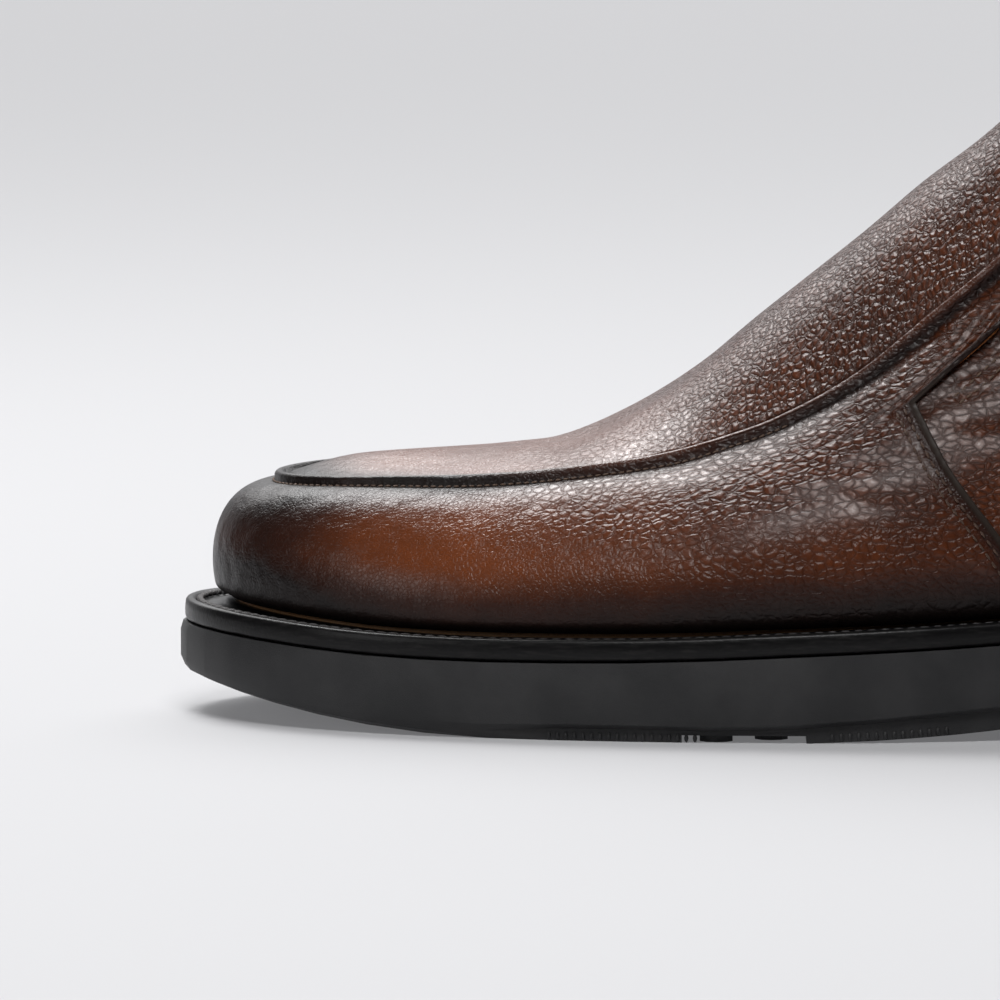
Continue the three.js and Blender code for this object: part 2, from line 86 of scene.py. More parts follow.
OUTLINE = [
    ("at", "edge_out", "edge_in", "seam_out", "seam_in", "sway", "lean"),
    (0, 1.32, 1.32, 1.07, 1.07, 0.12, 0.1),
    (0.05, 1.28, 1.28, 0.9, 0.9, 0.11, 0.1),
    (0.1, 1.23, 1.23, 0.79, 0.79, 0.09, 0.09),
    (0.16, 1.17, 1.16, 0.75, 0.75, 0.06, 0.09),
    (0.25, 1.095, 1.11, 0.706, 0.706, 0.02, 0.08),
    (0.33, 1.05, 1.02, 0.673, 0.67, 0, 0.08),
    (0.42, 0.988, 0.837, 0.61, 0.6, 0, 0.07),
    (0.5, 0.888, 0.714, 0.541, 0.541, 0, 0.05),
    (0.6, 0.808, 0.667, 0.541, 0.541, 0, 0.02),
    (0.7, 0.78, 0.702, 0.635, 0.635, 0, 0),
    (0.8, 0.855, 0.816, 0.753, 0.753, 0, 0),
    (0.9, 1.02, 1.004, 0.884, 0.884, 0, 0),
    (1, 1.365, 1.365, 1.171, 1.171, 0, 0),
]
SOLE_EDGE = [
    ("at", "welt"),
    (0, 1.24),
    (0.05, 1.18),
    (0.1, 1.08),
    (0.16, 1),
    (0.25, 0.96),
    (0.33, 0.95),
    (0.42, 0.9),
    (0.5, 0.8),
    (0.6, 0.75),
    (0.7, 0.75),
    (0.8, 0.8),
    (0.9, 0.85),
    (1, 0.85),
]
PROFILE = [
    ("at", "pitch", "lift", "seam", "crest"),
    (0, 0, 1, 0.243, 0.301),
    (0.08, 0, 0.25, 0.281, 0.334),
    (0.12, 0, 0.06, 0.294, 0.348),
    (0.16, 0, 0, 0.306, 0.366),
    (0.2, 0.01, 0, 0.32, 0.421),
    (0.25, 0.034, 0, 0.341, 0.509),
    (0.29, 0.07, 0, 0.37, 0.594),
    (0.33, 0.12, 0, 0.411, 0.671),
    (0.375, 0.17, 0, 0.486, 0.758),
    (0.42, 0.222, 0, 0.593, 0.851),
    (0.46, 0.27, 0, 0.69, 0.923),
    (0.5, 0.325, 0, 0.793, 1.003),
    (0.55, 0.4, 0, 0.845, 1.085),
    (0.6, 0.479, 0, 0.845, 1.132),
    (0.7, 0.65, 0, 0.776, 1.132),
    (0.8, 0.803, 0, 0.732, 1.1),
    (0.9, 0.93, 0, 0.749, 1.048),
    (1, 1, 0, 0.775, 1.016),
]
SECTION = [
    ("at", "swell", "rise", "reach", "drop", "fill", "round"),
    (0, 0.053, 0.28, 0.22, 0.07, 0.3, 0.4),
    (0.08, 0.071, 0.3, 0.225, 0.13, 0.32, 0.45),
    (0.16, 0.092, 0.3, 0.25, 0.18, 0.36, 0.5),
    (0.25, 0.102, 0.32, 0.285, 0.2, 0.39, 0.5),
    (0.33, 0.112, 0.32, 0.305, 0.19, 0.41, 0.52),
    (0.42, 0.122, 0.34, 0.225, 0.27, 0.44, 0.52),
    (0.5, 0.143, 0.34, 0.122, 0.29, 0.46, 0.5),
    (0.6, 0.122, 0.33, 0.071, 0.3, 0.46, 0.5),
    (0.8, 0.096, 0.3, 0.061, 0.3, 0.46, 0.5),
    (1, 0.092, 0.3, 0.061, 0.3, 0.46, 0.5),
]
# Side-view lines: share of the sole's length behind the toe, share of INSTEP_RISE over the throat's base
REAR_SEAM = [(0.53, -0.3), (0.505, 0.015), (0.48, 0.16), (0.447, 0.315), (0.4257, 0.45)]
FREE_EDGE = [(0.4257, 0.45), (0.48, 0.605), (0.55, 0.875)]
COLLAR = [
    (0.522, 1.105), (0.55, 0.875), (0.575, 0.775), (0.64, 0.69),
    (0.74, 0.655), (0.84, 0.7), (0.93, 0.79), (1.02, 0.83),
]
# Soft creases in the leather, in side view: place behind the toe and height, run and slope of
# the fold in degrees, depth and half width; side is -1 outer, 1 inner, 0 both
CREASES = [
    ("side", "behind", "height", "run", "slope", "depth", "half_width"),
    (0, 143, 68, 13, -6, 0.7, 1.1),
    (0, 146, 62, 15, 4, 0.6, 1.2),
    (0, 150, 55, 17, 8, 0.5, 1.4),
    (0, 118, 55, 14, 12, 0.35, 1.5),
    (0, 108, 50, 16, 8, 0.3, 1.5),
    (0, 121, 48, 12, 4, 0.3, 1.3),
    (0, 98, 46, 14, 5, 0.25, 1.6),
    (-1, 112, 42, 14, -3, 0.25, 1.5),
]
# The welt's section, from its inner side round to its lip: offset outwards from the upper's edge
# (from_lip 0) or from the welt's own edge (from_lip 1), and height over the upper's edge
WELT_SECTION = [
    ("from_lip", "out", "level"),
    (0, -WELT_INSIDE, -GAP - WELT),
    (0, -WELT_INSIDE, -GAP),
    (0, -3.1, -GAP),
    (0, -2.8, 0.15),
    (0, -1.2, 0.15),
    (0, -0.7, -GAP),
    (0, 0.4, -GAP - 0.1),
    (1, -LIP_WIDTH - 1.7, -GAP - 0.35),
    (1, -LIP_WIDTH - 0.7, -GAP - 0.45),
    (1, -LIP_WIDTH - 0.15, -GAP - 0.1),
    (1, -LIP_WIDTH + 0.25, WELT_LIP - 0.25),
    (1, -LIP_WIDTH + 0.65, WELT_LIP),
    (1, -0.75, WELT_LIP - 0.02),
    (1, -0.35, WELT_LIP - 0.2),
    (1, -0.1, WELT_LIP - 0.55),
    (1, 0, -GAP - 0.7),
    (1, 0.05, -GAP - 1.5),
    (1, 0, -GAP - 2.3),
    (1, -0.12, -GAP - WELT + 0.25),
    (1, -0.4, -GAP - WELT),
]
# Rows of thread, and of the tread's teeth: spacing and size of one stitch, and its turn in degrees
STITCHES = [
    ("name", "pitch", "length", "width", "height", "slant"),
    ("apron_stitches", 1.4, 1.1, 0.4, 0.4, 0),
    ("rear_seam_stitches", 1.9, 1.55, 0.5, 0.45, 0),
    ("tongue_edge_stitches", 1.9, 1.5, 0.45, 0.4, 0),
    ("quarter_stitches", 1.7, 1.35, 0.4, 0.35, 0),
    ("welt_stitches", 2.3, 2.5, 1.0, 1.1, 24),
    ("topline_stitches", 1.9, 1.5, 0.45, 0.4, 0),
    ("tread_ribs", 1.45, 0.8, 1.5, 0.7, 0),
]


def rows_of(table):
    names, rows = table[0], np.array(table[1:], dtype=float)
    return {name: rows[:, i] for i, name in enumerate(names)}


OUTLINE, SOLE_EDGE, PROFILE, SECTION = map(rows_of, (OUTLINE, SOLE_EDGE, PROFILE, SECTION))


def column(table, name, at):
    """A smooth curve through a table's column."""
    x, y = table["at"], table[name]
    slope = np.empty_like(y)
    slope[1:-1] = (y[2:] - y[:-2]) / (x[2:] - x[:-2])
    slope[0] = (y[1] - y[0]) / (x[1] - x[0])
    slope[-1] = (y[-1] - y[-2]) / (x[-1] - x[-2])
    i = np.clip(np.searchsorted(x, at, side="left") - 1, 0, len(x) - 2)
    span = x[i + 1] - x[i]
    t = (at - x[i]) / span
    rest = 1 - t
    values = y[i] * (1 + 2 * t) * rest**2 + y[i + 1] * t**2 * (3 - 2 * t)
    return values + span * t * rest * (slope[i] * rest - slope[i + 1] * t)


def smooth(low, high, x):
    t = np.clip((x - low) / (high - low), 0, 1)
    return t * t * (3 - 2 * t)


def vector(x, y, z):
    return np.stack(np.broadcast_arrays(x, y, z), axis=-1).astype(float)


def unit(v):
    return v / np.maximum(np.linalg.norm(v, axis=-1, keepdims=True), 1e-12)


def share_at(turn):
    return (1 - np.cos(turn)) / 2


def welt_width(at):
    return WELT_WIDTH * column(SOLE_EDGE, "welt", at)


def edge_height(at):
    heel = HEEL_RISE * column(PROFILE, "pitch", at)
    toe = TOE_LIFT * column(PROFILE, "lift", at)
    return FOREPART_HEIGHT + heel + toe


TOE = -HALF_LENGTH + welt_width(0) + SIDE_SWELL
HEEL = HALF_LENGTH - welt_width(1) - SIDE_SWELL


def rib(turn):
    """Lower edge, apron seam, crest and outward way at a turn: 0 the toe, -pi..0 the outer side."""
    at = share_at(turn)

    def between(front, back):
        return TOE + front + (HEEL - back - TOE - front) * at

    def half(name):
        sides = column(OUTLINE, name + "_out", at), column(OUTLINE, name + "_in", at)
        return HALF_BALL * np.where(turn < 0, *sides) * np.sin(turn)

    def rise(name):
        return edge_height(at) + INSTEP_RISE * column(PROFILE, name, at)

    sway = HALF_BALL * column(OUTLINE, "sway", at)
    lean = HALF_BALL * column(OUTLINE, "lean", at)
    edge = vector(between(0, 0), sway + half("edge"), edge_height(at))
    seam = vector(between(APRON_SETBACK, BACK_LEAN), (sway + lean) / 2 + half("seam"), rise("seam"))
    crest = vector(between(CREST_FRONT, CREST_BACK), lean, rise("crest"))
    out = unit(vector(-np.cos(turn) * HALF_BALL, np.sin(turn) * HALF_LENGTH, 0))
    return at, edge, seam, crest, out


def arcs(edge, seam, crest):
    """Lengths over the leather from the lower edge to the apron seam, and from there to the crest."""
    wall = WALL_ROUND * np.linalg.norm(seam - edge, axis=-1)
    top = TOP_ROUND * np.linalg.norm(crest - seam, axis=-1)
    return wall, top


def bezier(a, b, c, d, t):
    t = t[..., None]
    r = 1 - t
    return a * r**3 + 3 * b * r * r * t + 3 * c * r * t * t + d * t**3


def last_point(turn, up):
    """A point of the last: up is 0 at the lower edge, 1 on the apron seam and 2 on the crest."""
    turn, up = np.broadcast_arrays(np.asarray(turn, float), np.asarray(up, float))
    at, edge, seam, crest, out = rib(turn)

    def share(name):
        return column(SECTION, name, at)[..., None]

    z = np.array([0, 0, 1.0])
    wall = (seam - edge)[..., 2:]
    low = edge + out * HALF_BALL * share("swell") + z * wall * share("rise")
    high = seam + out * HALF_BALL * share("reach") - z * wall * share("drop")
    side = bezier(edge, low, high, seam, np.clip(up, 0, 1))
    inward = (crest - seam) * np.array([1, 1, 0])
    level = inward * np.stack([np.cos(turn) ** 2, np.ones_like(turn), np.ones_like(turn)], -1)
    low = seam + 0.25 * inward + z * (crest - seam)[..., 2:] * share("fill")
    top = bezier(seam, low, crest - share("round") * level, crest, np.clip(up - 1, 0, 1))
    return np.where((up <= 1)[..., None], side, top)


def last_normal(turn, up):
    step = 1e-3
    turn, up = np.broadcast_arrays(np.asarray(turn, float), np.asarray(up, float))
    low = np.clip(up - step, 0, 2 - 2 * step)
    high = np.minimum(low + 2 * step, 2 - step)
    middle = (low + high) / 2
    around = last_point(turn + step, middle) - last_point(turn - step, middle)
    rise = last_point(turn, high) - last_point(turn, low)
    return unit(np.cross(rise, around))


TURN_STEP = 1e-3


def turn_speed(turn, up, side=1):
    """Millimetres along the last for one radian of turn."""
    moved = last_point(turn + side * TURN_STEP, up) - last_point(turn, up)
    return np.linalg.norm(moved, axis=-1) / TURN_STEP


def bisect(test, low, high, steps=44):
    """Where test turns from False to True."""
    low, high = np.array(low, float), np.array(high, float)
    for _ in range(steps):
        middle = (low + high) / 2
        above = test(middle)
        high = np.where(above, middle, high)
        low = np.where(above, low, middle)
    return (low + high) / 2


THROAT_BASE = edge_height(0.42)


LINE_PIECES = 40


def side_line(points):
    """The smooth line through side-view points, as x and z."""
    p = np.array([(-HALF_LENGTH + SOLE_LENGTH * a, THROAT_BASE + INSTEP_RISE * u) for a, u in points])
    made = []
    for t in np.linspace(0, len(p) - 1, LINE_PIECES * (len(p) - 1) + 1):
        i = min(int(t), len(p) - 2)
        f = t - i
        p0, p1, p2, p3 = p[max(i - 1, 0)], p[i], p[i + 1], p[min(i + 2, len(p) - 1)]
        v0, v1 = (p2 - p0) / 2, (p3 - p1) / 2
        cubic = 2 * p1 - 2 * p2 + v0 + v1
        square = 3 * p2 - 3 * p1 - 2 * v0 - v1
        made.append(cubic * f**3 + square * f**2 + v0 * f + p1)
    return np.array(made)


rear_seam = side_line(REAR_SEAM)
free_edge = side_line(FREE_EDGE)
collar = side_line(COLLAR)
NOTCH = free_edge[0]
THROAT = free_edge[-1]
PAST_COLLAR = 15
ABOVE_CREST = np.array([-3, 25])  # the vamp's edge runs on past the crest, so every row meets it


def beside_free_edge(at_foot, at_collar):
    """The free edge moved towards the tongue, and lengthened past the collar."""
    way = unit(free_edge[-1] - free_edge[0])
    shift = np.linspace(at_foot, at_collar, len(free_edge))[:, None]
    line = free_edge + shift * np.array([-way[1], way[0]])
    return np.vstack([line, line[-1] + way * PAST_COLLAR])


collar_front = collar[: LINE_PIECES + 1][::-1]
vamp_edge = np.vstack([rear_seam, free_edge[1:], collar_front[1:], collar_front[-1:] + ABOVE_CREST])


def line_x(line, z):
    return np.interp(z, line[:, 1], line[:, 0])


def on_last(x, z, side):
    """Turn and up of side-view points on one side of the last."""
    x, z = np.asarray(x, float), np.asarray(z, float)

    def up_at(turn):
        return bisect(lambda up: last_point(side * turn, up)[..., 2] > z, 0 * x, 0 * x + 2, 26)

    def beyond(turn):
        return last_point(side * turn, up_at(turn))[..., 0] > x

    turn = bisect(beyond, 0 * x + 0.02, 0 * x + math.pi - 0.02, 26)
    return side * turn, up_at(turn)


# Relief of the leather


def hand_creases(points):
    """Soft folds where a worn foot bends the leather, as depth below the face."""
    depth = np.zeros(points.shape[:-1])
    for row in CREASES[1:]:
        fold = dict(zip(CREASES[0], row))
        x = points[..., 0] + HALF_LENGTH - fold["behind"]
        z = points[..., 2] - fold["height"]
        slope, half = math.radians(fold["slope"]), fold["half_width"]
        along = x * math.cos(slope) + z * math.sin(slope)
        across = z * math.cos(slope) - x * math.sin(slope)
        across = across + 0.6 * np.sin(along * 0.35 + fold["height"])
        trough = np.exp(-((across / half) ** 2))
        ridge = 0.5 * np.exp(-(((across - 2.2 * half) / (1.4 * half)) ** 2))
        side = 1 if fold["side"] == 0 else (np.sign(points[..., 1]) == fold["side"])
        depth += side * fold["depth"] * (trough - ridge) * np.exp(-((along / fold["run"]) ** 4))
    return depth


def seam_middle(at):
    """How far inside the last's seam line the bead runs: it keeps off the toe's shoulder."""
    return 0.3 + 2.6 * (1 - smooth(0.0, 0.14, at))


def seam_relief(from_seam, at):
    """Height of the apron seam: bead, stitch channel below it, groove above it, trough at the instep."""
    raised = (1 - 0.6 * smooth(0.3, 0.42, at)) * (1 - smooth(SEAM_END - SEAM_FADE, SEAM_END, at))
    beside = from_seam - seam_middle(at)
    bead = SEAM_HEIGHT * raised * np.sqrt(np.clip(1 - (beside / SEAM_HALF) ** 2, 0, 1))
    below = 0.35 * np.exp(-(((beside + 1.9) / 0.6) ** 2))
    above = 0.55 * np.exp(-(((beside - 1.65) / 0.4) ** 2))
    trough = smooth(0.3, 0.44, at) * 1.1 * np.exp(-(((beside + 3.2) / 2.2) ** 2))
    return bead - (below + above) * raised - trough * (1 - smooth(0.5, 0.56, at))


# Rows across the vamp: shares of the side wall, millimetres from the seam, shares of the top
WALL_ROWS = np.linspace(0, 1, 34)[:-1]
SEAM_ROWS = np.array(
    [-7, -5.8, -4.8, -4, -3.3, -2.7, -2.2, -1.8, -1.45, -1.15, -0.85, -0.55, -0.25, 0.05, 0.35,
     0.65, 0.95, 1.25, 1.55, 1.85, 2.15, 2.45, 2.75, 3.05, 3.35, 3.65, 3.95, 4.25, 4.55, 4.85, 5.3, 6]
)
TOP_ROWS = np.linspace(0, 1, 34)[1:]
ROWS = len(WALL_ROWS) + len(SEAM_ROWS) + len(TOP_ROWS)


def row_up(turn):
    """The rows' up at each turn: the new first axis counts the rows."""
    wall, top = arcs(*rib(turn)[1:4])
    start = 1 + SEAM_ROWS[0] / wall
    end = 1 + SEAM_ROWS[-1] / top
    below = [s * start for s in WALL_ROWS]
    near = [1 + d / (wall if d < 0 else top) for d in SEAM_ROWS]
    above = [end + (2 - end) * s for s in TOP_ROWS]
    return np.stack(np.broadcast_arrays(*below, *near, *above))


def own_up(turn):
    """Each row's up at its own turn."""
    return np.array([row_up(t)[i] for i, t in enumerate(turn)])


def row_turn(line, side):
    """For each row, the turn at which it meets a side-view line."""

    def beyond(turn):
        p = last_point(side * turn, own_up(turn))
        return p[:, 0] > line_x(line, p[:, 2])

    return bisect(beyond, np.full(ROWS, 0.05), np.full(ROWS, math.pi - 0.05), 40)


def loft(loops, end_lids=(True, True), close=False):
    """Quads between loops of one size; the first and last are closed across, or joined if close is set."""
    count, size = loops.shape[:2]
    ids = np.arange(count * size).reshape(count, size)
    faces = []
    last = count if close else count - 1
    for i in range(last):
        a, b = ids[i], ids[(i + 1) % count]
        faces.append(np.stack([a, np.roll(a, -1), np.roll(b, -1), b], axis=1))
    half = size // 2
    for k, closed in enumerate(end_lids):
        if close or not closed:
            continue
        loop = ids[0] if k == 0 else ids[-1]
        j = np.arange(half - 1)
        lid = np.stack([loop[j], loop[size - 1 - j], loop[size - 2 - j], loop[j + 1]], axis=1)
        faces.append(lid if k == 0 else lid[:, ::-1])
    return loops.reshape(-1, 3), np.vstack(faces)


MERGE_WITHIN = 2e-5  # metres
SHORTEST_EDGE = 1e-6


def make_piece(name, points, faces, finish, stands_for=(), masks=None, sharp=None):
    """A smooth-shaded mesh object in metres, riding on the root."""
    mesh = bpy.data.meshes.new(name)
    mesh.from_pydata((points * METRES).tolist(), [], [tuple(int(i) for i in f) for f in faces])
    for mask, values in (masks or {}).items():
        layer = mesh.attributes.new(mask, "FLOAT", "POINT")
        layer.data.foreach_set("value", np.asarray(values, dtype=np.float32).ravel())
    work = bmesh.new()
    work.from_mesh(mesh)
    bmesh.ops.remove_doubles(work, verts=work.verts, dist=MERGE_WITHIN)
    bmesh.ops.dissolve_degenerate(work, edges=work.edges, dist=SHORTEST_EDGE)
    bmesh.ops.recalc_face_normals(work, faces=work.faces)
    for face in work.faces:
        face.smooth = True
    if sharp:
        for edge in work.edges:
            if len(edge.link_faces) == 2 and edge.calc_face_angle(0) > math.radians(sharp):
                edge.smooth = False
    work.to_mesh(mesh)
    work.free()
    made = bpy.data.objects.new(name, mesh)
    bpy.context.scene.collection.objects.link(made)
    mesh.materials.append(finish)
    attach(made, "root")
    if stands_for:
        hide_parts(*stands_for)
    return made


# Shader maths


class Signal:
    """A shader value whose operators add Math nodes."""

    def __init__(self, finish, socket):
        self.finish, self.socket = finish, socket

    def maths(self, operation, *others):
        node = self.finish.node("ShaderNodeMath", {"operation": operation}, {})
        for i, value in enumerate((self, *others)):
            self.finish.feed(node.inputs[i], value)
        return Signal(self.finish, node.outputs[0])

    def __add__(self, other):
        return self.maths("ADD", other)

    def __mul__(self, other):
        return self.maths("MULTIPLY", other)

    def __sub__(self, other):
        return self.maths("SUBTRACT", other)

    def __rsub__(self, other):
        return (self * -1) + other

    __radd__ = __add__
    __rmul__ = __mul__

    def clamped(self):
        return self.maths("MAXIMUM", 0.0).maths("MINIMUM", 1.0)

    def step(self, low, high):
        """0 below low, 1 above high, smooth between them."""
        node = self.finish.node(
            "ShaderNodeMapRange",
            {"interpolation_type": "SMOOTHSTEP"},
            {"Value": self, "From Min": low, "From Max": high},
        )
        return Signal(self.finish, node.outputs["Result"])


class Finish:
    """A node material."""

    def __init__(self, name):
        self.material = bpy.data.materials.new(name)
        self.material.use_nodes = True
        self.tree = self.material.node_tree
        self.tree.nodes.clear()
        self.shader = self.node("ShaderNodeBsdfPrincipled", {}, {})
        output = self.node("ShaderNodeOutputMaterial", {}, {})
        self.tree.links.new(self.shader.outputs[0], output.inputs[0])
        self.place = self.out("ShaderNodeTexCoord", {}, {}, "Object")
        scaled = {"Vector": self.place, "Scale": 1 / METRES}
        self.millimetres = self.out("ShaderNodeVectorMath", {"operation": "SCALE"}, scaled, "Vector")

    def feed(self, socket, value):
        if isinstance(value, Signal):
            self.tree.links.new(value.socket, socket)
        elif socket.type == "RGBA" and len(value) == 3:
            socket.default_value = (*value, 1)
        else:
            socket.default_value = value

    def node(self, kind, settings, values):
        made = self.tree.nodes.new(kind)
        for name, value in settings.items():
            if name == "stops":
                ramp = made.color_ramp
                while len(ramp.elements) < len(value):
                    ramp.elements.new(1)
                for element, (place, colour) in zip(ramp.elements, value):
                    element.position, element.color = place, (*colour, 1)
            else:
                setattr(made, name, value)
        for name, value in values.items():
            self.feed(made.inputs[name], value)
        return made

    def out(self, kind, settings, values, output=0):
        return Signal(self, self.node(kind, settings, values).outputs[output])

    def attribute(self, name):
        return self.out("ShaderNodeAttribute", {"attribute_name": name}, {}, "Fac")

    def stretched(self, x, y, z):
        return self.out(
            "ShaderNodeVectorMath",
            {"operation": "MULTIPLY"},
            {0: self.millimetres, 1: (x, y, z)},
            "Vector",
        )

    def noise(self, scale, detail, place=None):
        values = {"Vector": place or self.millimetres, "Scale": scale, "Detail": detail}
        return self.out("ShaderNodeTexNoise", {}, values, "Fac")

    def mixed(self, factor, low, high):
        node = self.node("ShaderNodeMix", {"data_type": "RGBA"}, {0: factor})
        self.feed(node.inputs[6], low)
        self.feed(node.inputs[7], high)
        return Signal(self, node.outputs[2])

    def bump(self, height, distance, under=None):
        values = {"Height": height, "Distance": distance * METRES, "Strength": 1.0}
        if under is not None:
            values["Normal"] = under
        return self.out("ShaderNodeBump", {}, values, "Normal")

    def set(self, **values):
        for name, value in values.items():
            self.feed(self.shader.inputs[name.replace("_", " ")], value)
        return self.material


def pebbles(finish, place, size, warp, furrow):
    """Raised cells of a grained hide: 0 in the furrows, 1 on the middle of a cell."""
    noise = {"Vector": place, "Scale": 0.8 / size, "Detail": 2.0}
    drift = finish.out("ShaderNodeTexNoise", {}, noise, "Color")
    shifted = {0: drift, 1: (warp,) * 3, 2: place}
    moved = finish.out("ShaderNodeVectorMath", {"operation": "MULTIPLY_ADD"}, shifted, "Vector")
    values = {"Vector": moved, "Scale": 1 / size, "Randomness": 0.9}
    edge = finish.out("ShaderNodeTexVoronoi", {"feature": "DISTANCE_TO_EDGE"}, values, "Distance")
    return edge.step(0.0, furrow) * 0.5 + edge.step(0.0, 0.5) * 0.5


# Colours, linear
# Patina of the hide, darkest where burnished; its dark end also carries painted shade
PATINA_AND_SHADE = [
    (0.0, (0.17, 0.042, 0.011)),
    (0.3, (0.078, 0.0195, 0.006)),
    (0.6, (0.032, 0.0095, 0.005)),
    (1.0, (0.008, 0.005, 0.0045)),
]
# Painted shade for the grain's furrows and the tuck over the welt
PAINTED_SHADE_BROWN = (0.007, 0.0025, 0.0015)
EDGE_PAINT = (0.032, 0.024, 0.02)
WELT_BLACK, WELT_WORN = (0.004, 0.0038, 0.004), (0.012, 0.011, 0.011)
RUBBER_BLACK, RUBBER_DUSTY = (0.012, 0.012, 0.013), (0.042, 0.041, 0.042)
ELASTIC_DARK, ELASTIC_PALE = (0.012, 0.008, 0.006), (0.05, 0.033, 0.024)
PAPER, PAPER_GLOW = (0.42, 0.42, 0.43), (0.14, 0.14, 0.145)


def make_leather():
    """Brown hide: fine at the toe, coarse pebbles at the instep, burnished dark along its edges; its
    furrows, the groove under the apron bead, the tuck over the welt and the quarters under the tongue's
    edge are darkened as painted shade.
    """
    finish = Finish("grained_leather")
    burnish = finish.attribute("burnish")
    coarse = finish.attribute("coarse")
    above = finish.attribute("above_seam")
    paint = finish.attribute("paint")
    tuck = finish.attribute("tuck")
    fine = pebbles(finish, finish.millimetres, 0.8, 0.6, 0.2)
    middle = pebbles(finish, finish.stretched(0.8, 0.9, 1), 1.4, 1.2, 0.2)
    wall = pebbles(finish, finish.stretched(0.6, 0.9, 1), 1.35, 1.2, 0.2)
    tongue = pebbles(finish, finish.stretched(1, 0.8, 0.6), 1.2, 1.2, 0.2)
    worn = wall * (1 - above) + tongue * above
    some, most = coarse.step(0.0, 0.45), coarse.step(0.45, 1.0)
    cells = fine * (1 - some) + middle * (some - most) + worn * most
    depth = 0.12 + 0.88 * coarse
    cloud = finish.noise(0.055, 3.0)
    mottle = finish.noise(0.5, 4.0)
    wear_and_shade = (burnish + (cloud - 0.5) * 0.45 + (mottle - 0.5) * 0.12).clamped()
    brown = finish.out("ShaderNodeValToRGB", {"stops": PATINA_AND_SHADE}, {"Fac": wear_and_shade}, "Color")
    furrows = (1 - cells) * depth
    # Painted shade: darker in the grain's furrows and in the tuck over the welt
    dark = finish.mixed((furrows * 0.6 + tuck).clamped(), brown, PAINTED_SHADE_BROWN)
    painted = finish.mixed(paint, dark, EDGE_PAINT)
    pores = finish.noise(3.2, 3.0)
    height = cells * depth + pores * 0.045
    relief = finish.bump(height * (1 - paint), 0.3)
    soft = finish.bump(finish.noise(0.2, 2.0), 0.6, relief)
    return finish.set(
        Base_Color=painted,
        Roughness=(0.22 + mottle * 0.09 + wear_and_shade * 0.08 + furrows * 0.12 + tuck * 0.4).clamped(),
        Specular_IOR_Level=0.22,
        Coat_Weight=((cells * 0.55 + 0.1) * (1 - wear_and_shade * 1.3).clamped() - tuck).clamped(),
        Coat_Roughness=0.24,
        Normal=soft,
    )


def make_welt_finish():
    finish = Finish("waxed_welt")
    scratches = finish.noise(0.7, 4.0, finish.stretched(0.35, 0.35, 3.0))
    return finish.set(
        Base_Color=finish.mixed(scratches.step(0.45, 0.75), WELT_BLACK, WELT_WORN),
        Roughness=0.24 + scratches * 0.2,
        Specular_IOR_Level=0.2,
        Normal=finish.bump(finish.noise(1.6, 3.0), 0.05),
    )


def make_rubber():
    finish = Finish("moulded_rubber")
    dust = finish.noise(0.08, 4.0)
    scuffs = finish.noise(0.9, 6.0, finish.stretched(0.6, 0.6, 2.4)).step(0.66, 0.8)
    worn = dust.step(0.3, 0.8) * 0.5 + scuffs * 0.35
    return finish.set(
        Base_Color=finish.mixed(worn, RUBBER_BLACK, RUBBER_DUSTY),
        Roughness=0.5 + scuffs * 0.25 + dust * 0.1,
        Specular_IOR_Level=0.45,
        Normal=finish.bump(finish.noise(4.5, 3.0), 0.06),
    )


def make_lining(name, pale, dark):
    finish = Finish(name)
    cells = pebbles(finish, finish.millimetres, 0.55, 0.4, 0.3)
    # Soiling, with painted shade in the furrows between the cells
    soil_and_furrow_shade = (finish.noise(0.15, 4.0) * 0.7 + (1 - cells) * 0.3).clamped()
    return finish.set(
        Base_Color=finish.mixed(soil_and_furrow_shade, pale, dark),
        Roughness=0.5 + cells * 0.1,
        Normal=finish.bump(cells, 0.06),
    )


def make_elastic():
    finish = Finish("ribbed_elastic")
    cords = finish.out(
        "ShaderNodeTexWave",
        {"wave_type": "BANDS", "bands_direction": "X"},
        {"Vector": finish.millimetres, "Scale": 0.42, "Distortion": 0.6, "Detail": 2.0},
        "Fac",
    )
    threads = finish.noise(5.0, 2.0, finish.stretched(1, 1, 0.3))
    return finish.set(
        Base_Color=finish.mixed(cords * 0.6 + threads * 0.4, ELASTIC_DARK, ELASTIC_PALE),
        Roughness=0.85,
        Normal=finish.bump(cords + threads * 0.3, 0.25),
    )


def make_thread(name, colour, dark):
    finish = Finish(name)
    strands = finish.out(
        "ShaderNodeTexWave",
        {"wave_type": "BANDS", "bands_direction": "DIAGONAL"},
        {"Vector": finish.millimetres, "Scale": 3.2, "Distortion": 0.4},
        "Fac",
    )
    return finish.set(
        Base_Color=finish.mixed(strands, dark, colour),
        Roughness=0.6,
        Normal=finish.bump(strands, 0.06),
    )


leather = make_leather()
welt_finish = make_welt_finish()
rubber = make_rubber()
lining = make_lining("lining_leather", (0.34, 0.17, 0.07), (0.2, 0.09, 0.035))
edge_lining = make_lining("edge_lining", (0.62, 0.22, 0.06), (0.35, 0.11, 0.03))
sock_leather = make_lining("sock_leather", (0.4, 0.22, 0.1), (0.25, 0.12, 0.05))
elastic = make_elastic()
seam_thread = make_thread("seam_thread", (0.26, 0.17, 0.12), (0.06, 0.036, 0.024))
dark_thread = make_thread("dark_thread", (0.16, 0.09, 0.06), (0.02, 0.011, 0.008))
welt_thread = make_thread("welt_thread", (0.16, 0.15, 0.15), (0.03, 0.028, 0.028))


# Vamp and tongue in one panel

EDGE_STEPS = np.array([0, 0.3, 0.6, 0.95, 1.3, 1.7, 2.2, 3, 4.2])  # columns beside the panel's edge
RIM = np.radians([30, 65, 115, 150])  # points round a cut edge
SLOWEST_TURN = 20  # millimetres for one radian; keeps the edge columns close where a row moves less


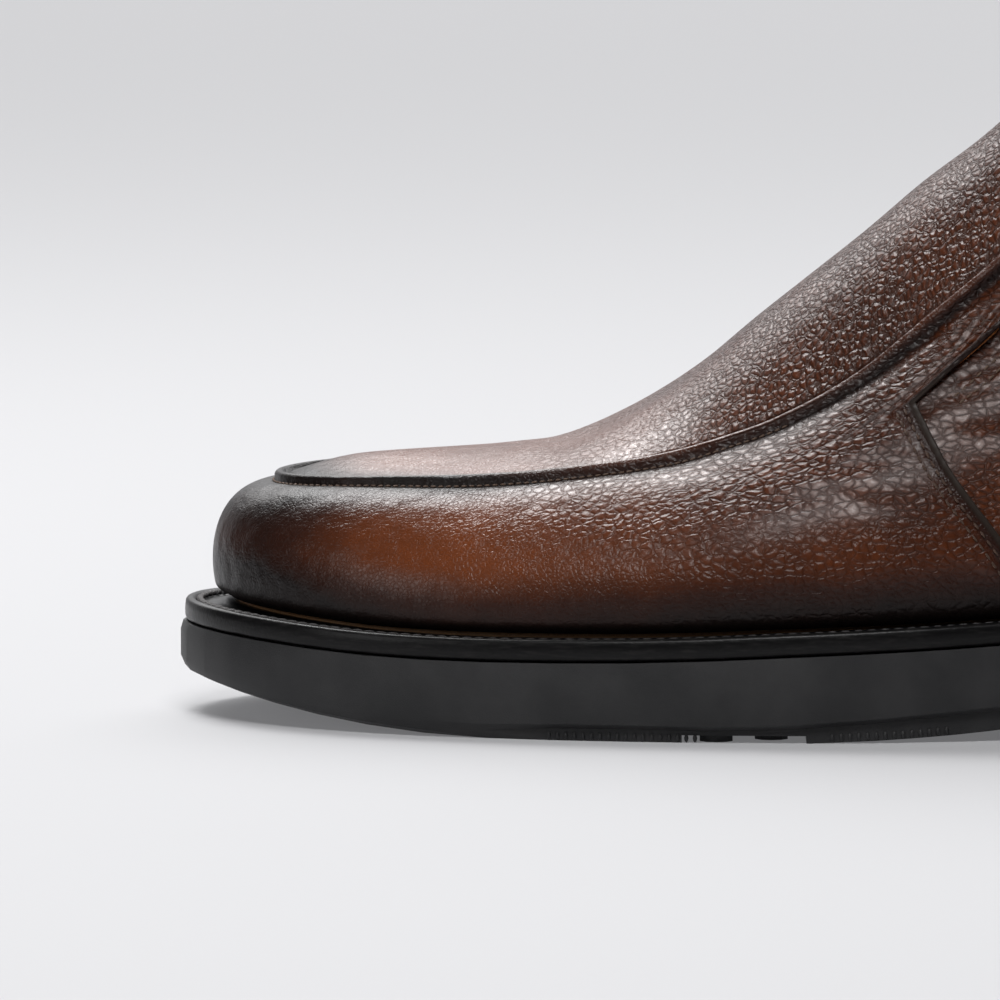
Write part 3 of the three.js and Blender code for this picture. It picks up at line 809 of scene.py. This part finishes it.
def panel_turns(line_out, line_in, columns=150):
    """Turns of the vamp's grid, rows by columns, and each column's distance from the panel's edge."""
    sides = []
    for line, side in ((line_out, -1), (line_in, 1)):
        limit = row_turn(line, side)
        speed = turn_speed(side * limit, own_up(limit), side)
        near = limit[:, None] - EDGE_STEPS[None, :] / np.maximum(speed, SLOWEST_TURN)[:, None]
        inner = near[:, -1:] * np.linspace(0, 1, columns)[None, :]
        turns = np.hstack([inner, near[:, ::-1][:, 1:]])
        sides.append(side * turns)
    turns = np.hstack([sides[0][:, ::-1], sides[1][:, 1:]])
    from_edge = np.concatenate([EDGE_STEPS, np.full(2 * columns - 3, FAR), EDGE_STEPS[::-1]])
    return turns, from_edge


def vamp_grid(turns):
    up = np.empty_like(turns)
    for j in range(turns.shape[1]):
        rows = row_up(turns[:, j])
        up[:, j] = rows[np.arange(ROWS), np.arange(ROWS)]
    points = last_point(turns, up)
    normals = last_normal(turns, up)
    normals[-1] = unit(normals[-1] + normals[-1, ::-1])
    return up, points, normals


def rim_points(outer, inner, normal, way):
    """Rounded edge from the outer to the inner face, for each row."""
    middle, half = (outer + inner) / 2, np.linalg.norm(outer - inner, axis=-1, keepdims=True) / 2
    return [middle + normal * half * math.cos(a) + way * half * math.sin(a) for a in RIM]


def panel(turns, top, back):
    """Closed loops of a sheet, rows by points, and an index of the grid column of each loop point."""
    _, points, normals = vamp_grid(turns)
    outer = points + normals * top[..., None]
    inner = points + normals * back[..., None]
    rims = []
    for j, side in ((-1, 1), (0, -1)):
        tangent = unit(np.gradient(points[:, j], axis=0))
        inward = points[:, j - side] - points[:, j]
        way = unit(np.cross(tangent, normals[:, j]))
        way *= -np.sign(np.sum(way * inward, axis=-1, keepdims=True))
        rims.append(rim_points(outer[:, j], inner[:, j], normals[:, j], way))
    first = np.stack(rims[0], axis=1)
    second = np.stack(rims[1][::-1], axis=1)
    loops = np.concatenate([outer, first, inner[:, ::-1], second], axis=1)
    columns = turns.shape[1]
    across = np.arange(columns)
    index = np.concatenate([across, np.full(len(RIM), columns - 1), across[::-1], np.zeros(len(RIM), int)])
    return loops, index


TUCK = 2.0
TUCK_HEIGHT = 3.6


def tuck_depth(points, at):
    """How far the upper turns in over the welt."""
    return TUCK * (1 - smooth(0, TUCK_HEIGHT, points[..., 2] - edge_height(at))) ** 2


def hide_masks(points, at, from_seam):
    """Burnish and painted shade, coarseness of the grain, and painted shade in the tuck over the welt, of
    a leather panel, each 0 to 1, from its place.
    """
    behind = points[..., 0] + HALF_LENGTH
    above_edge = points[..., 2] - edge_height(at)
    low = 1 - smooth(2, 13, above_edge)
    reach = 4.4 + 5.5 * (1 - smooth(15, 52, behind))
    toe_seam = np.exp(-(((from_seam + 1) / reach) ** 2)) * (1 - 0.85 * smooth(45, 72, behind))
    # Burnished patina round the toe seam, and a dark line in the stitch groove under the bead as painted
    # shade
    seam = 0.85 * toe_seam + 0.55 * np.exp(-(((from_seam + 2.0) / 1.3) ** 2))
    toe = (1 - smooth(8, 38, behind)) * 0.6
    instep = smooth(60, 110, behind) * 0.2
    high = 0.3 + 0.7 * smooth(26, 44, points[..., 2])
    off_bead = 1 - 0.75 * np.exp(-((from_seam / 1.4) ** 4))
    return {
        # burnish: burnished patina at the toe, the toe seam and the instep, darker towards the welt, and
        # painted shade under the bead
        "burnish": np.clip(0.1 + 0.75 * low + seam + toe + instep, 0, 1),
        "coarse": smooth(35, 105, behind) * high * off_bead,
        "above_seam": smooth(-1, 2, from_seam),
        # Painted shade where the upper turns in over the welt
        "tuck": 1 - smooth(1.4, TUCK_HEIGHT, above_edge),
    }


GAPE_HEIGHT = 61


def edge_lift(from_edge, height):
    """How far the tongue's free edge gapes off the quarter, most at GAPE_HEIGHT."""
    return 0.95 * np.exp(-((from_edge / 5) ** 2) - ((height - GAPE_HEIGHT) / 8) ** 2)


def make_vamp():
    turns, from_edge = panel_turns(vamp_edge, vamp_edge)
    up, points, _ = vamp_grid(turns)
    at, edge, seam, crest, _ = rib(turns)
    wall, top_arc = arcs(edge, seam, crest)
    from_seam = (up - 1) * np.where(up < 1, wall, top_arc)
    outer_half = np.arange(turns.shape[1]) < turns.shape[1] // 2
    edge_z = np.where(outer_half, points[:, :1, 2], points[:, -1:, 2])
    cut = edge_z < NOTCH[1]
    away = np.broadcast_to(from_edge, turns.shape)
    lift = np.where(cut, 0.0, edge_lift(away, edge_z))
    bevel = np.where(cut, 0.45 * (1 - smooth(0, 1.5, away)), 0.15 * (1 - smooth(0, 1.2, away)))
    rear_channel = 0.22 * np.exp(-(((away - 2.6) / 0.7) ** 2))
    tongue_channel = 0.2 * np.exp(-(((away - 2.2) / 0.5) ** 2))
    stitched = np.where(cut, rear_channel, tongue_channel)
    relief = seam_relief(from_seam, at) - hand_creases(points) - bevel - stitched - tuck_depth(points, at)
    under = np.minimum(-LEATHER + 0.6 * np.maximum(relief, 0), relief - THINNEST) + lift
    relief = relief + lift
    loops, index = panel(turns, relief, under)
    masks = hide_masks(points, at, from_seam - seam_middle(at))
    masks["burnish"] = np.clip(masks["burnish"] + 0.6 * np.exp(-((away / 3.0) ** 2)), 0, 1)
    masks["coarse"] = masks["coarse"] * (1 - 0.8 * np.exp(-(((away - 1.8) / 2.2) ** 4)))
    masks["paint"] = np.where(cut, 1 - smooth(0.7, 1.2, away), 0.0)
    masks = {name: values[:, index] for name, values in masks.items()}
    points, faces = loft(loops, end_lids=(True, False))
    return make_piece("vamp_with_tongue", points, faces, leather, ("upper",), masks)


# Quarters round the heel

TOP_LINE_START = -60  # in front the top line runs on under the vamp, down to the welt
TOP_LINE_FALL = 50
QUARTER_HEIGHT = 60
top_line = np.vstack([beside_free_edge(ELASTIC_LAP, ELASTIC_LAP)[:-1], collar[LINE_PIECES + 1 :]])
top_start = [TOP_LINE_START, top_line[0, 1] - TOP_LINE_FALL]
top_line = np.vstack([top_start, top_line[top_line[:, 0].argsort()]])
ROWS_AT_TOP = 1 - np.array([5, 4, 3.2, 2.5, 1.9, 1.4, 1, 0.6, 0.3, 0]) / QUARTER_HEIGHT
QUARTER_ROWS = np.concatenate([np.linspace(0, 0.9, 40), ROWS_AT_TOP])
BACK_SEAM_FROM = 100  # the back seam is a groove down the middle of the heel, behind this place


def quarter_turns(line_start, columns=300):
    x = -HALF_LENGTH + line_start
    start = bisect(lambda t: rib(t)[1][..., 0] > x, np.array(0.1), np.array(3.0))
    return np.linspace(-start, -2 * math.pi + start, columns)


def wrapped(turn):
    """Turns past the heel come back on the inner side."""
    return np.where(turn < -math.pi, turn + 2 * math.pi, turn)


def quarter_grid(turn):
    def above(up):
        p = last_point(turn, up)
        return p[:, 2] > np.interp(p[:, 0], top_line[:, 0], top_line[:, 1])

    top = bisect(above, np.full(len(turn), 0.05), np.full(len(turn), 1.99))
    up = top[:, None] * QUARTER_ROWS[None, :]
    turns = np.broadcast_to(turn[:, None], up.shape)
    return turns, last_point(turns, up), last_normal(turns, up)


def quarter_loops(points, outer, inner, normals):
    way = unit(points[:, -1] - points[:, -4])
    rims = np.stack(rim_points(outer[:, -1], inner[:, -1], normals[:, -1], way), axis=1)
    return np.concatenate([outer, rims, inner[:, ::-1]], axis=1)


def loop_index(rows):
    return np.concatenate([np.arange(rows), np.full(len(RIM), rows - 1), np.arange(rows)[::-1]])


def make_quarters():
    turn = wrapped(quarter_turns(QUARTER_START))
    turns, points, normals = quarter_grid(turn)
    at = share_at(turns)
    from_top = np.linalg.norm(points - points[:, -1:], axis=-1)
    bevel = 0.25 * (1 - smooth(0, 2, from_top))
    relief = QUARTER_TOP - hand_creases(points) - bevel - tuck_depth(points, at)
    back_seam = np.where(points[..., 0] > BACK_SEAM_FROM, np.abs(points[..., 1]), FAR)
    relief = relief - 0.5 * np.exp(-((back_seam / 0.7) ** 2))
    under = np.minimum(QUARTER_BACK, relief - THINNEST)
    outer, inner = points + normals * relief[..., None], points + normals * under[..., None]
    loops = quarter_loops(points, outer, inner, normals)
    masks = hide_masks(points, at, np.full(at.shape, -FAR))
    # Darker along the top line, as painted shade where it runs under the tongue's lifted edge, and beside
    # the back seam
    dark = 0.5 * np.exp(-((from_top / 6) ** 2)) + 0.5 * np.exp(-((back_seam / 6) ** 2))
    masks["burnish"] = np.clip(masks["burnish"] + dark, 0, 1)
    masks = {name: values[:, loop_index(turns.shape[1])] for name, values in masks.items()}
    verts, faces = loft(loops)
    return make_piece("quarters", verts, faces, leather, masks=masks)


def make_quarter_lining():
    turn = wrapped(quarter_turns(QUARTER_START, 200))
    _, points, normals = quarter_grid(turn)
    points, normals = points[:, 3:], normals[:, 3:]
    loops = quarter_loops(points, points + normals * LINING_TOP, points - normals * WALL, normals)
    verts, faces = loft(loops)
    return make_piece("quarter_lining", verts, faces, lining)


def make_vamp_lining():
    slot = beside_free_edge(4.2, 12)
    front_x = -HALF_LENGTH + QUARTER_START - 0.5
    slot_line = np.vstack([[front_x, -60], [front_x, slot[0, 1] - 3], slot])
    heights = np.linspace(-60, 150, 600)
    limit = np.minimum(line_x(slot_line, heights), line_x(vamp_edge, heights) - 1.0)
    limit = np.stack([limit, heights], axis=-1)
    turns, _ = panel_turns(limit, limit, 60)
    _, points, _ = vamp_grid(turns)
    behind = points[..., 0] + HALF_LENGTH
    under_quarter = smooth(105, 113, behind) * (1 - smooth(0, 4, points[..., 2] - NOTCH[1]))
    top = -LEATHER - 0.35 - 0.75 * under_quarter - 0.8 * tuck_depth(points, share_at(turns))
    top = np.maximum(top, -WALL + LINING_THINNEST)
    loops, _ = panel(turns, top, np.full(turns.shape, -WALL))
    verts, faces = loft(loops[4:], end_lids=(True, False))
    return make_piece("vamp_lining", verts, faces, lining)


def make_flap_lining():
    """Tan lining that shows as a sliver under the tongue's lifted edges."""
    columns = np.array([-1, 0, 0.7, 1.6, 3, 5.5])
    loops = []
    for side in (-1, 1):
        line = free_edge[(free_edge[:, 1] > NOTCH[1] + 1.5) & (free_edge[:, 1] < THROAT[1] - 2)]
        turn, up = on_last(line[:, 0], line[:, 1], side)
        speed = turn_speed(turn, up)
        shown = np.exp(-(((line[:, 1] - GAPE_HEIGHT) / 7) ** 2))
        away = np.where(columns < 0, -(shown - 0.2)[:, None], columns)
        turns = turn[:, None] - side * away / speed[:, None]
        up = np.broadcast_to(up[:, None], turns.shape)
        points, normals = last_point(turns, up), last_normal(turns, up)
        top = edge_lift(np.maximum(away, 0), line[:, 1:]) - LEATHER - 0.03
        outer = points + normals * top[..., None]
        inner = points + normals * (top - LINING_THINNEST)[..., None]
        loops.append(loft(np.concatenate([outer, inner[:, ::-1]], axis=1)))
    points = np.vstack([made[0] for made in loops])
    faces = np.vstack([loops[0][1], loops[1][1] + len(loops[0][0])])
    return make_piece("tongue_edge_lining", points, faces, edge_lining)


# Welt


def make_welt():
    turn = np.linspace(-math.pi, math.pi, 420, endpoint=False)
    at, edge, _, _, out = rib(turn)
    width = welt_width(at)
    loops = []
    for from_lip, offset, level in WELT_SECTION[1:]:
        p = edge + out * (from_lip * width + offset)[:, None]
        p[:, 2] = edge[:, 2] + level
        loops.append(p)
    verts, faces = loft(np.stack(loops, axis=1), close=True)
    return make_piece("stitched_welt", verts, faces, welt_finish, ("welt",))


def copied_node(name, node, finish, sharp):
    """A CAD node's mesh, merged and smoothed, as a piece that stands for it."""
    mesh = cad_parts[node].data
    points = np.array([v.co for v in mesh.vertices]) / METRES
    faces = [tuple(f.vertices) for f in mesh.polygons]
    return make_piece(name, points, faces, finish, (node,), sharp=sharp)


# Stitches


def stitch_tree():
    """Stitches along a line: thread ends sunk in the leather, aligned to the line and to its facing."""
    tree = bpy.data.node_groups.new("stitch_row", "GeometryNodeTree")
    face = tree.interface
    face.new_socket("Geometry", in_out="INPUT", socket_type="NodeSocketGeometry")
    for name in ("Pitch", "Length", "Width", "Height", "Slant"):
        face.new_socket(name, in_out="INPUT", socket_type="NodeSocketFloat")
    face.new_socket("Thread", in_out="INPUT", socket_type="NodeSocketMaterial")
    face.new_socket("Geometry", in_out="OUTPUT", socket_type="NodeSocketGeometry")
    nodes, link = tree.nodes, tree.links.new
    given = nodes.new("NodeGroupInput")
    curve = nodes.new("GeometryNodeMeshToCurve")
    spaced = nodes.new("GeometryNodeResampleCurve")
    spaced.mode = "LENGTH"
    tangent = nodes.new("GeometryNodeInputTangent")
    facing = nodes.new("GeometryNodeInputNamedAttribute")
    facing.data_type = "FLOAT_VECTOR"
    facing.inputs["Name"].default_value = "facing"
    along = nodes.new("FunctionNodeAlignRotationToVector")
    along.axis = "X"
    upright = nodes.new("FunctionNodeAlignRotationToVector")
    upright.axis, upright.pivot_axis = "Z", "X"
    slant = nodes.new("ShaderNodeCombineXYZ")
    turned = nodes.new("FunctionNodeRotateRotation")
    turned.rotation_space = "LOCAL"
    bead = nodes.new("GeometryNodeMeshUVSphere")
    bead.inputs["Segments"].default_value = 8
    bead.inputs["Rings"].default_value = 6
    bead.inputs["Radius"].default_value = 0.5
    size = nodes.new("ShaderNodeCombineXYZ")
    placed = nodes.new("GeometryNodeInstanceOnPoints")
    plain = nodes.new("GeometryNodeRealizeInstances")
    shaded = nodes.new("GeometryNodeSetShadeSmooth")
    painted = nodes.new("GeometryNodeSetMaterial")
    given_out = nodes.new("NodeGroupOutput")
    link(given.outputs["Geometry"], curve.inputs["Mesh"])
    link(curve.outputs["Curve"], spaced.inputs["Curve"])
    link(given.outputs["Pitch"], spaced.inputs["Length"])
    link(tangent.outputs[0], along.inputs["Vector"])
    link(along.outputs[0], upright.inputs["Rotation"])
    link(facing.outputs["Attribute"], upright.inputs["Vector"])
    link(upright.outputs[0], turned.inputs["Rotation"])
    link(given.outputs["Slant"], slant.inputs["Z"])
    link(slant.outputs[0], turned.inputs["Rotate By"])
    link(given.outputs["Length"], size.inputs["X"])
    link(given.outputs["Width"], size.inputs["Y"])
    link(given.outputs["Height"], size.inputs["Z"])
    link(spaced.outputs[0], placed.inputs["Points"])
    link(bead.outputs["Mesh"], placed.inputs["Instance"])
    link(turned.outputs[0], placed.inputs["Rotation"])
    link(size.outputs[0], placed.inputs["Scale"])
    link(placed.outputs[0], plain.inputs[0])
    link(plain.outputs[0], shaded.inputs[0])
    link(shaded.outputs[0], painted.inputs["Geometry"])
    link(given.outputs["Thread"], painted.inputs["Material"])
    link(painted.outputs[0], given_out.inputs["Geometry"])
    return tree


STITCH_TREE = stitch_tree()


def make_stitches(name, lines, facings, thread, slot):
    """One piece of stitches along lines of points with outward facings, sized by its row of STITCHES."""
    points, edges, facing = [], [], []
    for line, normals in zip(lines, facings):
        start = len(points)
        points += (line * METRES).tolist()
        facing += normals.tolist()
        edges += [(start + i, start + i + 1) for i in range(len(line) - 1)]
    mesh = bpy.data.meshes.new(name + "_line")
    mesh.from_pydata(points, edges, [])
    mesh.attributes.new("facing", "FLOAT_VECTOR", "POINT").data.foreach_set("vector", np.ravel(facing))
    carrier = bpy.data.objects.new(name + "_line", mesh)
    bpy.context.scene.collection.objects.link(carrier)
    modifier = carrier.modifiers.new("stitches", "NODES")
    modifier.node_group = STITCH_TREE
    row = dict(zip(STITCHES[0], next(row for row in STITCHES[1:] if row[0] == name)))
    sizes = {key.title(): row[key] * METRES for key in ("pitch", "length", "width", "height")}
    sizes |= {"Slant": math.radians(row["slant"]), "Thread": thread}
    for item in STITCH_TREE.interface.items_tree:
        if item.in_out == "INPUT" and item.name in sizes:
            modifier[item.identifier] = sizes[item.name]
    graph = bpy.context.evaluated_depsgraph_get()
    made_mesh = bpy.data.meshes.new_from_object(carrier.evaluated_get(graph))
    bpy.data.objects.remove(carrier)
    made = bpy.data.objects.new(name, made_mesh)
    made_mesh.name = name
    bpy.context.scene.collection.objects.link(made)
    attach(made, "root")
    return made


def along_seam(offset, lift, first, last, side):
    """A line beside the apron seam, offset millimetres from it and lifted off the last."""
    turn = side * np.linspace(first, last, 240)
    wall, top = arcs(*rib(turn)[1:4])
    from_seam = offset + seam_middle(share_at(turn))
    up = 1 + from_seam / np.where(from_seam < 0, wall, top)
    points, normals = last_point(turn, up), last_normal(turn, up)
    height = seam_relief(from_seam, share_at(turn)) - hand_creases(points) + lift
    return points + normals * height[:, None], normals


def side_row(line, distance, low, high, lift, side):
    """A row beside a side-view line, between two heights; distance is towards the toe."""
    inside = line[(line[:, 1] > low) & (line[:, 1] < high)]
    way = unit(np.gradient(inside, axis=0))
    moved = inside + distance * np.stack([-way[:, 1], way[:, 0]], axis=-1)
    turn, up = on_last(moved[:, 0], moved[:, 1], side)
    points, normals = last_point(turn, up), last_normal(turn, up)
    return points + normals * (lift - hand_creases(points))[:, None], normals


def on_both_sides(rows):
    """The lines and facings of several rows, each made once for the outer and once for the inner side."""
    made = [row(side) for row in rows for side in (-1, 1)]
    return [line for line, _ in made], [facing for _, facing in made]


def make_apron_stitches():
    turn_end = bisect(lambda t: rib(t)[2][..., 0] > NOTCH[0] - 22, np.array(0.1), np.array(3.0))
    rows = on_both_sides([lambda side: along_seam(-1.75, 0.1, 0.0, turn_end, side)])
    make_stitches("apron_stitches", *rows, seam_thread, "leather")


def make_rear_seam_stitches():
    top = NOTCH[1] - 1
    rows = on_both_sides([
        lambda side: side_row(rear_seam, 2.0, 24, top, 0.08, side),
        lambda side: side_row(rear_seam, 3.5, 24, top, 0.04, side),
    ])
    make_stitches("rear_seam_stitches", *rows, dark_thread, "leather")


def make_tongue_edge_stitches():
    rows = on_both_sides([lambda side: side_row(free_edge, 2.2, NOTCH[1] + 1.5, 1e3, -0.15, side)])
    make_stitches("tongue_edge_stitches", *rows, dark_thread, "leather")


def make_quarter_stitches():
    low, high, lift = NOTCH[1] + 4, THROAT[1] - 8, QUARTER_TOP + 0.05
    rows = on_both_sides([
        lambda side: side_row(free_edge, -3.4, low, high, lift, side),
        lambda side: side_row(free_edge, -5.0, low, high, lift, side),
    ])
    make_stitches("quarter_stitches", *rows, seam_thread, "leather")


def make_welt_stitches():
    turn = np.linspace(-math.pi, math.pi, 600)
    at, edge, _, _, out = rib(turn)
    line = edge + out * (welt_width(at) - LIP_WIDTH - 0.75)[:, None]
    line[:, 2] = edge[:, 2] - GAP + 0.3
    make_stitches("welt_stitches", [line], [np.tile([0, 0, 1.0], (len(turn), 1))], welt_thread, "welt")


def make_topline_stitches():
    turn = wrapped(quarter_turns(QUARTER_START + 24, 260))
    _, points, normals = quarter_grid(turn)
    below_top = np.linalg.norm(points[0] - points[0, -1], axis=-1)
    row = -1 - int(np.argmin(np.abs(below_top - 2.6)[::-1]))
    line = points[:, row] + normals[:, row] * (QUARTER_TOP + 0.05)
    make_stitches("topline_stitches", [line], [normals[:, row]], dark_thread, "leather")


def make_tread_ribs():
    """Small rubber teeth along the lower edge of the tread, in two stretches at the ball."""
    lines, facings = [], []
    for first, last in ((61, 87), (111.5, 132)):
        for side in (-1, 1):
            turn = side * np.arccos(1 - 2 * np.linspace(first, last, 200) / SOLE_LENGTH)
            at, edge, _, _, out = rib(turn)
            points = edge + out * (welt_width(at) + SIDE_SWELL - 1.45)[:, None]
            arch = np.interp(points[:, 0] + HALF_LENGTH, (110, 126.6, 144), (0, 0.72, 2.1))
            points[:, 2] = 0.8 + arch
            lines.append(points)
            facings.append(out)
    make_stitches("tread_ribs", lines, facings, rubber, "rubber")


def dress_elastic():
    for node in ("elastic_outer", "elastic_inner"):
        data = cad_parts[node].data
        data.materials.clear()
        data.materials.append(elastic)


# The whole shoe

make_vamp()
make_quarters()
make_quarter_lining()
make_vamp_lining()
make_flap_lining()
make_welt()
copied_node("rubber_sole", "outsole", rubber, 28)
copied_node("sock", "insole", sock_leather, 40)
dress_elastic()
make_apron_stitches()
make_rear_seam_stitches()
make_tongue_edge_stitches()
make_quarter_stitches()
make_welt_stitches()
make_topline_stitches()
make_tread_ribs()


# Studio

# Metres from here on
AIM = Vector((-0.0939, 0.0, 0.03735))
VIEW_WIDTH = 0.1754
CAMERA_DISTANCE = 4.0
ELEVATION = math.radians(5.5)
FLOOR_REACH = 7
SOFTBOXES = [
    ("name", "place", "aim", "size", "watts"),
    ("overhead_softbox", (-0.36, 0.56, 1.0), (-0.06, 0.0, 0.05), (0.5, 0.36), 10),
    ("key_softbox", (-0.1, -0.72, 1.0), (0.0, 0.0, 0.05), (0.5, 0.4), 8.5),
    ("side_softbox", (-1.05, -0.68, 0.45), (-0.1, 0.0, 0.04), (0.3, 0.5), 1.6),
    ("back_softbox", (-0.1, 2.6, 1.9), (-0.1, 1.9, 0), (4.0, 2.4), 80),
]


def make_floor():
    finish = Finish("floor_paper")
    surface = finish.set(Base_Color=PAPER, Roughness=0.8, Emission_Color=PAPER_GLOW, Emission_Strength=1.0)
    mesh = bpy.data.meshes.new("floor")
    corners = [(x * FLOOR_REACH, y * FLOOR_REACH, 0) for x, y in ((-1, -1), (1, -1), (1, 1), (-1, 1))]
    mesh.from_pydata(corners, [], [(0, 1, 2, 3)])
    mesh.materials.append(surface)
    floor = bpy.data.objects.new("floor", mesh)
    bpy.context.scene.collection.objects.link(floor)


def soft_light(name, place, aim, size, watts):
    light = bpy.data.lights.new(name, "AREA")
    light.shape, light.size, light.size_y = "RECTANGLE", size[0], size[1]
    light.energy = watts
    holder = bpy.data.objects.new(name, light)
    holder.location = place
    holder.rotation_euler = (Vector(aim) - Vector(place)).to_track_quat("-Z", "Y").to_euler()
    holder.visible_camera = False
    bpy.context.scene.collection.objects.link(holder)


def make_world():
    """Soft light from behind the shoe, and a dark room in front of it."""
    world = bpy.data.worlds.new("studio")
    world.use_nodes = True
    nodes, link = world.node_tree.nodes, world.node_tree.links.new
    way = nodes.new("ShaderNodeTexCoord")
    parts = nodes.new("ShaderNodeSeparateXYZ")
    behind = nodes.new("ShaderNodeMapRange")
    behind.interpolation_type = "SMOOTHSTEP"
    for name, value in (("From Min", 0.4), ("From Max", 0.95), ("To Min", 0.015), ("To Max", 0.5)):
        behind.inputs[name].default_value = value
    link(way.outputs["Generated"], parts.inputs[0])
    link(parts.outputs["Y"], behind.inputs["Value"])
    background = nodes["Background"]
    background.inputs["Color"].default_value = (0.97, 0.97, 1.0, 1)
    link(behind.outputs["Result"], background.inputs["Strength"])
    bpy.context.scene.world = world


def make_camera():
    data = bpy.data.cameras.new("camera")
    data.sensor_width = 36
    data.lens = data.sensor_width * CAMERA_DISTANCE / VIEW_WIDTH
    data.clip_end = 100
    camera = bpy.data.objects.new("camera", data)
    way = Vector((0, -math.cos(ELEVATION), math.sin(ELEVATION)))
    camera.location = AIM + way * CAMERA_DISTANCE
    camera.rotation_euler = (-way).to_track_quat("-Z", "Y").to_euler()
    bpy.context.scene.collection.objects.link(camera)
    bpy.context.scene.camera = camera


make_floor()
for softbox in SOFTBOXES[1:]:
    soft_light(*softbox)
make_world()
make_camera()
bpy.context.scene.view_settings.view_transform = "Standard"
